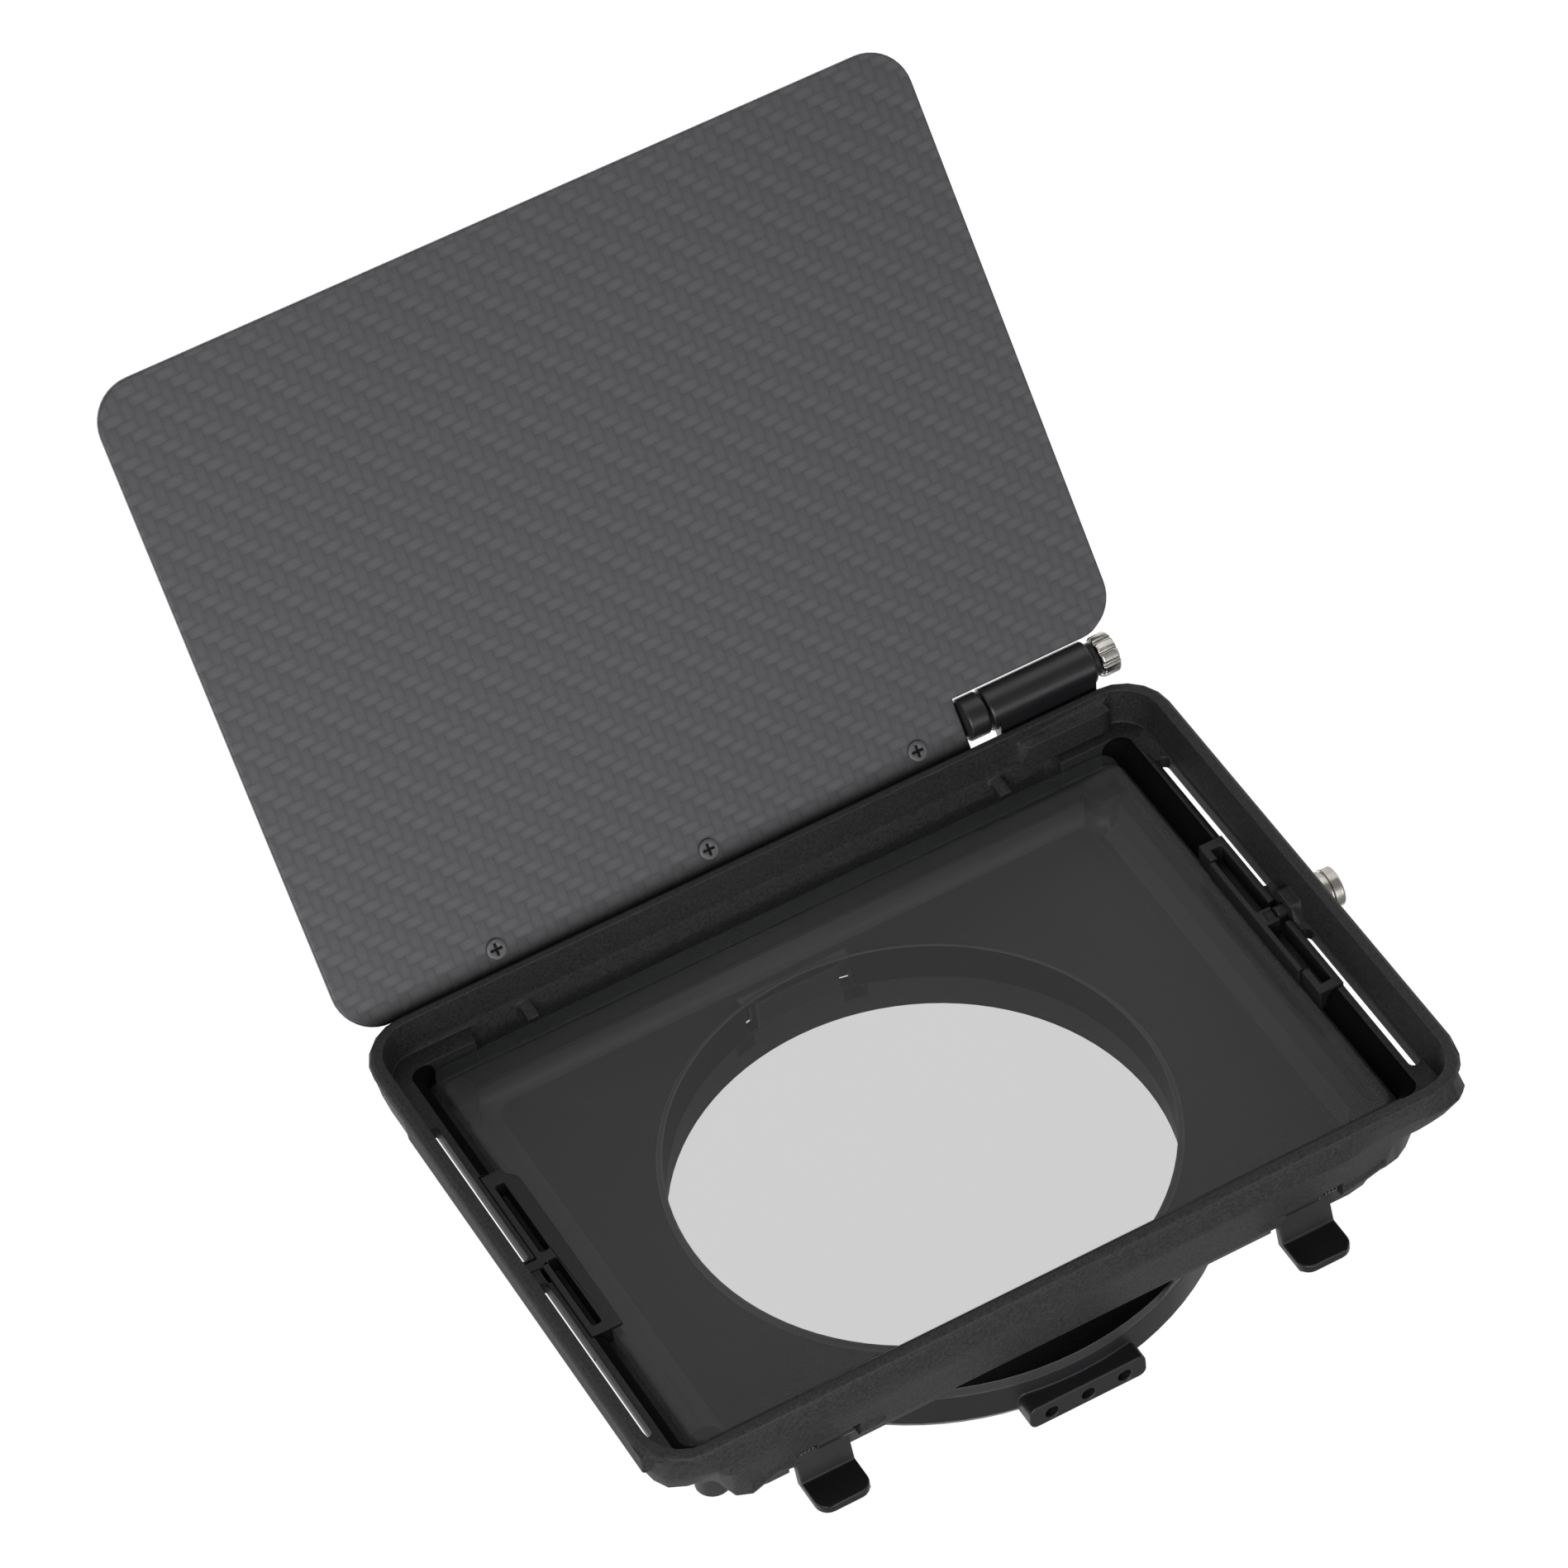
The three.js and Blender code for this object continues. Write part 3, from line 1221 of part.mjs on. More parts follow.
function hingeShaft() {
  return turnedAboutWidth(rod(hingeShaftRadius, hingeShaftStart, hingeShaftEnd), pinFacets, 0, 0);
}

function hingeWasher() {
  return turnedAboutWidth([
    [hingeBoreRadius, washerStart],
    [washerRadius, washerStart],
    [washerRadius, washerEnd],
    [hingeBoreRadius, washerEnd],
    [hingeBoreRadius, washerStart],
  ], smallRoundFacets, 0, 0);
}

function tensionKnob() {
  const body = turnedAboutWidth(bevelledRod(tensionKnobRadius, tensionKnobStart, tensionKnobEnd,
    tensionKnobBevel), smallRoundFacets * 2, 0, 0);
  const hole = turnedAboutWidth(rod(hingeBoreRadius, tensionKnobStart - overrun, hingeShaftEnd), pinFacets, 0, 0);
  const flutes = [];
  for (let i = 0; i < knobFlutes; i += 1) {
    const angle = (i / knobFlutes) * Math.PI * 2;
    const fluteFacets = 8;
    flutes.push(turnedAboutWidth(rod(tensionFluteRadius, tensionKnobStart - overrun, tensionKnobEnd + overrun),
      fluteFacets, tensionKnobRadius * Math.cos(angle), tensionKnobRadius * Math.sin(angle)));
  }
  return cut(body, [hole, ...flutes]);
}

// Colours and finishes
const finishes = {
  blackNylon: { color: "#26272a", roughness: 0.78, metalness: 0 },
  carbon: { color: "#45464a", roughness: 0.5, metalness: 0 },
  anodised: { color: "#1b1c1f", roughness: 0.35, metalness: 0.6 },
  blackSteel: { color: "#202124", roughness: 0.4, metalness: 0.7 },
  silver: { color: "#c9c8c4", roughness: 0.25, metalness: 1 },
  spring: { color: "#9a9a98", roughness: 0.3, metalness: 1 },
  glass: { color: "#c9cfcb", roughness: 0.05, metalness: 0 },
  polymer: { color: "#1a1b1d", roughness: 0.6, metalness: 0 },
};

function meshOf(name, body, finish) {
  const mesh = new THREE.Mesh(geometryOf(body), new THREE.MeshStandardMaterial(finishes[finish]));
  mesh.name = name;
  return mesh;
}

// Assembly: everything sits in the frame of the rim and is moved so that the lens end is at zero.
const matteBox = new THREE.Group();
const box = new THREE.Group();
box.position.y = -boxDepth;
matteBox.add(box);

box.add(meshOf("hood_frame", hoodFrame(), "blackNylon"));
box.add(meshOf("rear_stage", rearStage(), "blackNylon"));
box.add(meshOf("aperture_latch", apertureLatch(), "polymer"));
box.add(meshOf("lens_clamp_ring", clampRing(), "anodised"));
box.add(meshOf("ring_clamp_screw", ringClampScrew(), "blackSteel"));
stageScrewPlaces.forEach((place, i) => {
  box.add(meshOf(`stage_screw_${i + 1}`, stageScrew(place), "blackSteel"));
});
box.add(meshOf("filter_left_clip", leftClip(), "polymer"));
box.add(meshOf("pad_bracket", clampBracket(), "polymer"));
box.add(meshOf("filter_clamp_pad", clampPad(), "polymer"));
box.add(meshOf("flag_hinge_barrel", hingeBarrel(), "anodised"));
footScrewPlaces.forEach((x, i) => {
  box.add(meshOf(`hinge_foot_screw_${i + 1}`, footScrew(x), "blackSteel"));
});

const screwGroup = new THREE.Group();
screwGroup.position.set(0, screwDepth, screwHeight);
screwGroup.add(meshOf("clamp_thumbscrew", thumbscrew(), "silver"));
box.add(screwGroup);

const filterGroup = new THREE.Group();
filterGroup.position.set(-filterHalfWidth, filterPivotDepth, 0);
filterGroup.add(meshOf("filter_glass", filterGlass(), "glass"));
box.add(filterGroup);

for (const side of ["right", "left"]) {
  const place = (body) => (side === "right" ? body : mirrored(body));
  const leverGroup = new THREE.Group();
  leverGroup.position.set(0, leverPivotDepth, leverPivotHeight);
  leverGroup.add(meshOf(`eject_lever_${side}`, place(ejectLever()), "polymer"));
  box.add(leverGroup);
  box.add(meshOf(`lever_pin_${side}`, place(leverPin()), "blackSteel"));
  box.add(meshOf(`lever_spring_${side}`, place(leverSpring()), "spring"));
}

const flagGroup = new THREE.Group();
flagGroup.position.set(0, hingeDepth, hingeHeight);
flagGroup.rotation.x = THREE.MathUtils.degToRad(-flagAngle);
flagGroup.add(meshOf("flag_panel", flagPanel(), "carbon"));
flagGroup.add(meshOf("flag_hinge_leaf", flagLeaf(), "anodised"));
flagScrewPlaces.forEach((x, i) => {
  flagGroup.add(meshOf(`flag_screw_${i + 1}`, flagScrew(x), "blackSteel"));
});
flagGroup.add(meshOf("hinge_shaft", hingeShaft(), "blackSteel"));
flagGroup.add(meshOf("hinge_washer", hingeWasher(), "polymer"));
flagGroup.add(meshOf("tension_knob", tensionKnob(), "silver"));
box.add(flagGroup);

export default matteBox;
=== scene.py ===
# %% [markdown]
# # A matte box in Blender
# This lesson dresses the CAD model of a clip-on matte box: a moulded hood with a folding carbon
# flag, one glass filter and a ring that clamps on the lens. The camera stands where the
# photographer stood, and every piece gets a material made from nodes.
#
# X runs to the right seen from the front, Y back towards the lens, Z up. Lengths are in metres.

import json
import math

import bmesh
import bpy
from mathutils import Matrix, Vector

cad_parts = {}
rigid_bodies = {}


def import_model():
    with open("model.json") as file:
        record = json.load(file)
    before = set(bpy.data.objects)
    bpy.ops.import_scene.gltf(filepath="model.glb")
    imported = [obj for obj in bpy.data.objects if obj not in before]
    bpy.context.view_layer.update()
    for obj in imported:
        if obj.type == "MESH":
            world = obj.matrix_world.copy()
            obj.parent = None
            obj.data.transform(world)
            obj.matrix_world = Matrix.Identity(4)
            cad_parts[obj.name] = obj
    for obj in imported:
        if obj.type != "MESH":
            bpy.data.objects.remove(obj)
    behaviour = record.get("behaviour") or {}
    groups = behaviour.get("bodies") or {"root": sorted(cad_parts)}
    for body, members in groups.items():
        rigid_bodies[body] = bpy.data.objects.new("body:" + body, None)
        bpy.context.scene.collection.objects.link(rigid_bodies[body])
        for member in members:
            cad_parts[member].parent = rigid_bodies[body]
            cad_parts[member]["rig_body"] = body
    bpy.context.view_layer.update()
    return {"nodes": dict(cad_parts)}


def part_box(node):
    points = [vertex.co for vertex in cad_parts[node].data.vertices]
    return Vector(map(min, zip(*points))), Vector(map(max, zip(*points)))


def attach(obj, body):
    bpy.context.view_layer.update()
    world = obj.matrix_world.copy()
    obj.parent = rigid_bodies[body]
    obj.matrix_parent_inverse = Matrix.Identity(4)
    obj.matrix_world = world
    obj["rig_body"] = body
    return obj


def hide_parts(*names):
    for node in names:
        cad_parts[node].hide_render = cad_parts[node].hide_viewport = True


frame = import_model()
nodes = frame["nodes"]
scene = bpy.context.scene

# %% [markdown]
# ## Colours
# Colours are written as the hex values that a painter would pick on a screen. A shader works with
# the amount of light instead, so one function turns each hex value into linear numbers.

# %% Hex to linear
MM = 0.001


def linear(hex_colour):
    """Turns an sRGB colour such as #26272a into linear red, green, blue and alpha."""
    channels = [int(hex_colour[i:i + 2], 16) / 255 for i in (1, 3, 5)]
    curve = [c / 12.92 if c <= 0.04045 else ((c + 0.055) / 1.055) ** 2.4 for c in channels]
    return (*curve, 1.0)


print("middle grey #808080 gives", round(linear("#808080")[0], 3), "of the light")

# %% [markdown]
# ## Nodes
# In the editor nodes are dragged and wired by hand. In a script one function adds a node, sets its
# options and wires its inputs, so that each material below reads like a recipe. It works for a
# material, for the world and for a Geometry Nodes tree alike.

# %% Add and wire nodes
def set_inputs(owner, node, **inputs):
    """Gives inputs a value or another node's result. The names i0, i1, i2 go by number."""
    tree = getattr(owner, "node_tree", owner)
    for name, value in inputs.items():
        by_number = name[1:].isdigit()
        socket = node.inputs[int(name[1:]) if by_number else name.replace("_", " ")]
        if isinstance(value, bpy.types.NodeSocket):
            tree.links.new(value, socket)
        else:
            socket.default_value = value


def add(owner, kind, settings=None, **inputs):
    """Adds one node. Settings are its options."""
    tree = getattr(owner, "node_tree", owner)
    node = tree.nodes.new(kind)
    for option, value in (settings or {}).items():
        setattr(node, option, value)
    set_inputs(owner, node, **inputs)
    return node


def maths(owner, operation, *values):
    """Adds one Math node and returns its result."""
    inputs = {f"i{number}": value for number, value in enumerate(values)}
    return add(owner, "ShaderNodeMath", {"operation": operation}, **inputs).outputs[0]


def blend_colours(material, share, first, second):
    """Mixes two colours by a share between 0 and 1 and returns the result."""
    node = add(material, "ShaderNodeMix", {"data_type": "RGBA"}, i0=share, i6=first, i7=second)
    return node.outputs[2]


def new_material(name):
    """Makes an empty node material and returns it with its main shader."""
    material = bpy.data.materials.new(name)
    material.use_nodes = True
    material.node_tree.nodes.clear()
    shader = add(material, "ShaderNodeBsdfPrincipled")
    output = add(material, "ShaderNodeOutputMaterial", Surface=shader.outputs[0])
    output.is_active_output = True
    return material, shader


# %% [markdown]
# ## Patterns
# Every pattern is worked out from a point's place in its object, in metres, so a grain of half a
# millimetre stays that size on every piece and moves with it. Noise seldom leaves the range from
# 0.3 to 0.7, so that range is the one that is stretched.

# %% Noise, ranges and bumps
def object_place(material):
    """Each point's place in its own object."""
    return add(material, "ShaderNodeTexCoord").outputs["Object"]


def noise(material, place, size_mm, detail=2.0, roughness=0.5):
    """A noise pattern whose lumps are about size_mm across."""
    node = add(material, "ShaderNodeTexNoise", Vector=place, Scale=1 / (size_mm * MM),
               Detail=detail, Roughness=roughness)
    return node.outputs["Fac"]


def spread(material, value, low, high):
    """Stretches a noise pattern to run from low to high."""
    node = add(material, "ShaderNodeMapRange", Value=value, From_Min=0.3, From_Max=0.7,
               To_Min=low, To_Max=high)
    return node.outputs[0]


def bump(material, height, depth_mm, under=None):
    """Raises the surface by height times depth_mm, on top of another bump if one is given."""
    node = add(material, "ShaderNodeBump", Height=height, Distance=depth_mm * MM, Strength=1.0)
    if under is not None:
        set_inputs(material, node, Normal=under)
    return node.outputs[0]


# %% [markdown]
# ## Rounded edges
# No moulded or milled edge is knife sharp. A round in the mesh is the true way, but on the hood's
# many corners it would leave spikes. The Bevel node gives the same line of light: it bends the
# normal near an edge. Where the bent normal leaves the true one there is an edge. Edges are what
# hands rub bright, and there the colour is lightened for wear and, on the nylon, as a painted
# highlight.

# %% Edges in the material
def rounded_normal(material, radius_mm):
    """The normal that the surface would have if its edges had a round of this radius."""
    return add(material, "ShaderNodeBevel", {"samples": 4}, Radius=radius_mm * MM).outputs[0]


def worn_and_highlit_edges(material, rounded):
    """Runs from 0 on flat faces to 1 on edges, where the two normals stand 30 degrees apart."""
    true_normal = add(material, "ShaderNodeNewGeometry").outputs["Normal"]
    alike = add(material, "ShaderNodeVectorMath", {"operation": "DOT_PRODUCT"}, i0=rounded,
                i1=true_normal).outputs["Value"]
    return add(material, "ShaderNodeMapRange", Value=alike, From_Min=0.995,
               From_Max=0.86).outputs[0]


# %% [markdown]
# ## Moulded nylon
# The hood, the rear stage and the small clips are black glass-filled nylon from an eroded mould.
# Its face has grains of about half a millimetre, some hundredths of a millimetre deep, and cloudy
# patches from handling. The grain could be sculpted, but a bump that shallow looks the same and
# keeps the mesh light. Nylon's index of refraction is 1.53. The latch and the clips are acetal, a
# slippery plastic so close to nylon in its looks that the same recipe serves for both.

# %% Nylon material
NYLON_IOR = 1.53
NYLON_ROUND_MM = 0.4
HANDLING_MM = 26


def nylon(name, hex_colour, light_hex, wear_and_highlight_hex, grain_mm, grain_depth_mm, roughness, gloss):
    """Grained nylon in two greys, its edges smoother and lighter for wear and a painted highlight.
    """
    material, shader = new_material(name)
    place = object_place(material)
    grain = noise(material, place, grain_mm, detail=3.0, roughness=0.6)
    fine = noise(material, place, grain_mm * 0.4, detail=2.0)
    clouds = noise(material, place, HANDLING_MM, detail=3.0)
    rounded = rounded_normal(material, NYLON_ROUND_MM)
    edges = worn_and_highlit_edges(material, rounded)
    mottled = blend_colours(material, spread(material, grain, 0.0, 1.0), linear(hex_colour),
                            linear(light_hex))
    # Painted highlight: the edge grey stands for wear and for a line of light along each edge.
    worn_and_highlit = maths(material, "MULTIPLY", edges, spread(material, clouds, 0.25, 0.75))
    dullness = maths(material, "ADD", spread(material, fine, roughness - 0.08, roughness + 0.08),
                     maths(material, "MULTIPLY", edges, -0.12))
    relief = bump(material, grain, grain_depth_mm, under=rounded)
    set_inputs(material, shader, IOR=NYLON_IOR, Specular_IOR_Level=gloss, Roughness=dullness,
               Base_Color=blend_colours(material, worn_and_highlit, mottled, linear(wear_and_highlight_hex)),
               Normal=bump(material, fine, grain_depth_mm * 0.4, under=relief))
    return material


# %% [markdown]
# The eight finishes differ in grain and in how much light reaches them. The hood is the coarsest.
# The tray behind the filter is smoother and a little greyer. Its sloped coves and the aperture's
# bead are lighter greys still, a painted highlight for the light they catch, and the tray, its
# coves, the bead and the latch have light edge greys, painted lines of light. The bore is matte
# and nearly black, and the channels beside the filter are near black as a painted shade.

# %% The nylon finishes
hood_nylon = nylon("moulded_hood_nylon", "#121213", "#2d2d2f", "#46474a", 0.6, 0.03, 0.6, 0.28)
# Painted shade: near black for the channels and gaps that no light reaches.
channel_painted_shade = nylon("painted_shade_nylon", "#040404", "#0a0a0b", "#101011", 0.6, 0.01, 0.8, 0.05)
# The edge greys of the tray, its coves, the bead and the latch are painted highlights.
stage_nylon = nylon("rear_stage_nylon", "#242425", "#2c2c2d", "#6a6b6e", 0.5, 0.004, 0.5, 0.4)
cove_painted_light = nylon("tray_cove_painted_light", "#414144", "#48484b", "#77787b", 0.5, 0.004, 0.45, 0.4)
bead_painted_highlight = nylon("aperture_bead_painted_highlight", "#626266", "#6a6a6e", "#9a9b9e", 0.5, 0.004, 0.45, 0.4)
bore_nylon = nylon("matte_bore_nylon", "#111112", "#19191a", "#55565a", 0.5, 0.004, 0.85, 0.05)
latch_nylon = nylon("latch_acetal", "#161617", "#222224", "#a0a19f", 0.4, 0.008, 0.6, 0.2)
clip_nylon = nylon("clip_acetal", "#121213", "#1f1f21", "#46474a", 0.4, 0.008, 0.5, 0.28)
print("the hood's nylon has", len(hood_nylon.node_tree.nodes), "nodes")

# %% [markdown]
# ## The cloth of the flag
# The flag is a sheet of carbon cloth under matte lacquer. The cloth is made of flat ribbons of
# fibre, the tows, 2.04 mm wide. An image of cloth would do, but arithmetic on the coordinates
# stays sharp at any size. It needs level cloth, so the flag's points are first turned about its
# hinge. The cloth is laid by hand, so its rows wander by some tenths of a millimetre.

# %% Places on the cloth
TOW = 2.04
hinge_low, hinge_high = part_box("hinge_shaft")
HINGE = (hinge_low + hinge_high) / 2
FLAG_ANGLE = math.radians(37.33)
WANDER_MM = 0.9
WANDER_SCALE = 28.0


def level_cloth(material, place):
    """The flag's points turned level about the hinge, and a copy of them that wanders."""
    level = add(material, "ShaderNodeVectorRotate", {"rotation_type": "X_AXIS"}, Vector=place,
                Center=HINGE, Angle=FLAG_ANGLE).outputs[0]
    drift = add(material, "ShaderNodeTexNoise", Vector=level, Scale=WANDER_SCALE,
                Detail=1.0)
    wandering = add(material, "ShaderNodeVectorMath", {"operation": "MULTIPLY_ADD"},
                    i0=drift.outputs["Color"], i1=(WANDER_MM * MM, WANDER_MM * MM, 0.0),
                    i2=level).outputs[0]
    return level, wandering


def out_from_hinge(material, place_parts):
    """How far in front of the hinge a point of the level cloth lies, in metres."""
    return maths(material, "SUBTRACT", HINGE.y, place_parts.outputs["Y"])


print("the hinge runs through", HINGE)

# %% [markdown]
# ## Two over, two under
# In twill each tow lies over two others and under two, and every row steps one tow along. So the
# pattern repeats every four tows: column plus row, divided by four, leaves 0 or 1 where the tow
# across is on top and 2 or 3 where the tow along is. A tow crowns over its float, which is a sine
# wave, and dips where it goes under.

# %% The weave
def float_shape(material, along, across):
    """The crown of one tow: high in the middle of its float, low at both ends and both sides."""
    lengthwise = maths(material, "SINE", maths(material, "MULTIPLY", along, math.pi))
    sideways = maths(material, "SINE", maths(material, "MULTIPLY", across, math.pi))
    product = maths(material, "MULTIPLY", lengthwise, sideways)
    return maths(material, "POWER", maths(material, "MAXIMUM", product, 0.0), 0.45)


def weave(material, place):
    """Returns the cloth's height, whether the weft is on top, and the way along a warp float."""
    parts = add(material, "ShaderNodeSeparateXYZ", Vector=place)
    column = maths(material, "MULTIPLY", parts.outputs["X"], 1 / (TOW * MM))
    row = maths(material, "MULTIPLY", out_from_hinge(material, parts), 1 / (TOW * MM))
    column_share = maths(material, "FRACT", column)
    row_share = maths(material, "FRACT", row)
    step = maths(material, "ADD", maths(material, "FLOOR", column), maths(material, "FLOOR", row))
    phase = maths(material, "FLOORED_MODULO", step, 4.0)
    weft_on_top = maths(material, "LESS_THAN", phase, 1.5)
    weft_along = maths(material, "MULTIPLY", maths(material, "ADD", phase, column_share), 0.5)
    warp_phase = maths(material, "SUBTRACT", phase, 2.0)
    warp_along = maths(material, "MULTIPLY", maths(material, "ADD", warp_phase, row_share), 0.5)
    weft = float_shape(material, weft_along, row_share)
    warp = float_shape(material, warp_along, column_share)
    height = add(material, "ShaderNodeMix", i0=weft_on_top, i2=warp, i3=weft).outputs[0]
    return height, weft_on_top, warp_along


# %% [markdown]
# ## Carbon twill
# Single fibres are far too thin to draw, so streaks of noise, squeezed to a sixth of a millimetre
# across each tow, stand for bundles of them. Matte lacquer dulls the cloth and has a fine orange
# peel. The two ways of tow differ in grey, as painted light for their sheen. Over its last 4 mm
# next to the hood the sheet gets a painted shade, near black, where it lies shielded by the rim.

# %% Carbon material
ALONG, ACROSS = 500.0, 6000.0
# Painted shade next to the hood: full at the first mm out from the hinge, gone at the second.
EDGE_SHADE_FULL_MM, EDGE_SHADE_END_MM = -4.2, -0.8


def fibre_streaks(material, place, scale):
    """Noise that is squeezed across a tow and drawn out along it."""
    stretched = add(material, "ShaderNodeMapping", Vector=place, Scale=scale).outputs[0]
    return add(material, "ShaderNodeTexNoise", Vector=stretched, Scale=1.0,
               Detail=2.0).outputs["Fac"]


def carbon_twill(name):
    """The cloth with painted light on its tows, its fibres, its lacquer and a painted shade by the
    hood.
    """
    material, shader = new_material(name)
    place = object_place(material)
    level, wandering = level_cloth(material, place)
    height, weft_on_top, warp_along = weave(material, wandering)
    fibres = add(material, "ShaderNodeMix", i0=weft_on_top,
                 i2=fibre_streaks(material, wandering, (ACROSS, ALONG, ALONG)),
                 i3=fibre_streaks(material, wandering, (ALONG, ACROSS, ALONG))).outputs[0]
    lacquer = noise(material, place, 0.45, detail=3.0, roughness=0.65)
    patches = noise(material, place, 45, detail=2.0)

    # Painted light: weft and warp tows differ in grey and the warp darkens along its float, for
    # sheen.
    warp_painted_light = blend_colours(material, warp_along, linear("#4f4f52"), linear("#47474a"))
    tows_painted_light = blend_colours(material, weft_on_top, warp_painted_light, linear("#535356"))
    crowned = maths(material, "MULTIPLY", height, spread(material, fibres, 0.8, 1.05))
    woven = blend_colours(material, crowned, linear("#3c3c3f"), tows_painted_light)
    lacquered = blend_colours(material, spread(material, lacquer, 0.0, 0.35), woven,
                              linear("#525255"))
    level_parts = add(material, "ShaderNodeSeparateXYZ", Vector=level)
    out_mm = maths(material, "MULTIPLY", out_from_hinge(material, level_parts), 1 / MM)
    # Painted shade: near black at the edge next to the hood, clearing over 3.4 mm.
    clear_of_painted_shade = add(material, "ShaderNodeMapRange", Value=out_mm, From_Min=EDGE_SHADE_FULL_MM,
                      From_Max=EDGE_SHADE_END_MM).outputs[0]
    dullness = maths(material, "ADD", spread(material, patches, 0.46, 0.54),
                     maths(material, "MULTIPLY", height, -0.06))
    relief = bump(material, height, 0.03)
    set_inputs(material, shader, Specular_IOR_Level=0.35, Roughness=dullness,
               Base_Color=blend_colours(material, clear_of_painted_shade, linear("#0c0c0d"), lacquered),
               Normal=bump(material, lacquer, 0.025, under=relief))
    return material


flag_carbon = carbon_twill("matte_carbon_twill")
print("twill of", TOW, "mm tows,", len(flag_carbon.node_tree.nodes), "nodes")

# %% [markdown]
# ## Turned steel
# The thumbscrew and the tension knob come from a lathe, whose tool leaves rings about a tenth of a
# millimetre apart. Anisotropic shading could stretch the highlights, but rings drawn as a bump
# survive an export. They read the distance from the axis, so they close round it.

# %% Turned metal
RINGS_PER_METRE = 9000.0


def turned_metal(name, hex_colour, dark_hex, axis_place, roughness):
    """Bright metal with fine lathe rings round an axis along x through axis_place."""
    material, shader = new_material(name)
    place = object_place(material)
    centred = add(material, "ShaderNodeVectorMath", {"operation": "SUBTRACT"}, i0=place,
                  i1=tuple(axis_place)).outputs[0]
    parts = add(material, "ShaderNodeSeparateXYZ", Vector=centred)
    squares = maths(material, "ADD", maths(material, "POWER", parts.outputs["Y"], 2.0),
                    maths(material, "POWER", parts.outputs["Z"], 2.0))
    radius = maths(material, "SQRT", squares)
    ring_place = add(material, "ShaderNodeCombineXYZ", X=parts.outputs["X"], Y=radius).outputs[0]
    rings = add(material, "ShaderNodeTexNoise", Vector=ring_place, Scale=RINGS_PER_METRE,
                Detail=1.0).outputs["Fac"]
    smudges = noise(material, place, 2.2, detail=3.0)
    set_inputs(material, shader, Metallic=1.0,
               Base_Color=blend_colours(material, spread(material, smudges, 0.0, 0.5),
                                        linear(hex_colour), linear(dark_hex)),
               Roughness=spread(material, smudges, roughness - 0.05, roughness + 0.08),
               Normal=bump(material, rings, 0.012))
    return material


thumbscrew_centre = sum(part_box("clamp_thumbscrew"), Vector()) / 2
bright_steel = turned_metal("turned_steel", "#b9b6b0", "#8f8c86", thumbscrew_centre, 0.24)
knob_steel = turned_metal("turned_knob_steel", "#c4c1bb", "#98958f", HINGE, 0.2)
print("the thumbscrew's centre is at", thumbscrew_centre)

# %% [markdown]
# ## Dark metals
# The ring, the hinge and its leaf are aluminium, blasted with glass beads and anodised black. The
# dye sits in an oxide skin, so they reflect like a plastic and not like bare metal: Metallic is 0.
# The screws are blackened steel, with some metal left in their shine, and the flag's three are
# zinc plated and greyer. The levers are painted, and the springs are bare steel.

# %% Dark metal
METAL_ROUND_MM = 0.3


def dark_metal(name, hex_colour, light_hex, blast_mm, roughness, metallic, shine):
    """Blackened or anodised metal with a bead-blasted face and rubbed edges."""
    material, shader = new_material(name)
    place = object_place(material)
    blast = noise(material, place, blast_mm, detail=3.0, roughness=0.6)
    smudges = noise(material, place, 9, detail=3.0)
    rounded = rounded_normal(material, METAL_ROUND_MM)
    edges = maths(material, "MULTIPLY", worn_and_highlit_edges(material, rounded),
                  spread(material, smudges, 0.2, 0.7))
    body = blend_colours(material, spread(material, blast, 0.0, 0.5), linear(hex_colour),
                         linear(light_hex))
    set_inputs(material, shader, Metallic=metallic, Specular_IOR_Level=shine,
               Base_Color=blend_colours(material, edges, body, linear("#5a5a5c")),
               Roughness=spread(material, smudges, roughness - 0.05, roughness + 0.06),
               Normal=bump(material, blast, 0.012, under=rounded))
    return material


shank_steel = dark_metal("thumbscrew_shank", "#19191b", "#232325", 0.2, 0.45, 0.0, 0.3)
ring_anodised = dark_metal("anodised_ring", "#151517", "#1e1e20", 0.25, 0.42, 0.0, 0.4)
ring_bore = dark_metal("ring_matte_bore", "#303032", "#3a3a3c", 0.25, 0.7, 0.0, 0.1)
hinge_anodised = dark_metal("anodised_hinge", "#131315", "#1a1a1c", 0.2, 0.34, 0.0, 0.5)
screw_black = dark_metal("blackened_steel", "#1c1c1e", "#2c2c2e", 0.2, 0.32, 0.6, 0.5)
flag_screw_zinc = dark_metal("flag_screw_zinc", "#48484a", "#5c5c5e", 0.2, 0.36, 0.2, 0.5)
# A painted shade, near black, for the crosses in the flag's screws.
recess_painted_shade = dark_metal("screw_recess_painted_shade", "#050505", "#0a0a0a", 0.2, 0.7, 0.0, 0.1)
spring_steel = dark_metal("spring_steel", "#6f6e6c", "#8d8c89", 0.3, 0.3, 1.0, 0.5)
lever_finish = dark_metal("painted_lever", "#131314", "#1a1a1b", 0.22, 0.4, 0.0, 0.4)
print("the ring's finish has", len(ring_anodised.node_tree.nodes), "nodes")

# %% [markdown]
# ## Filter glass
# A flat pane hardly bends what is behind it. Glass that refracts would need many light bounces and
# turn noisy, so the pane is partly see-through instead, by its Alpha: each face lets about three
# quarters of the light through and adds a grey haze. Glass has an IOR of 1.52. It is set higher
# here, because this pane mirrors more of the white room. The ground edge is frosted.

# %% Glass materials
FACE_ALPHA = 0.23
EDGE_ALPHA = 0.3
FACE_IOR = 1.7


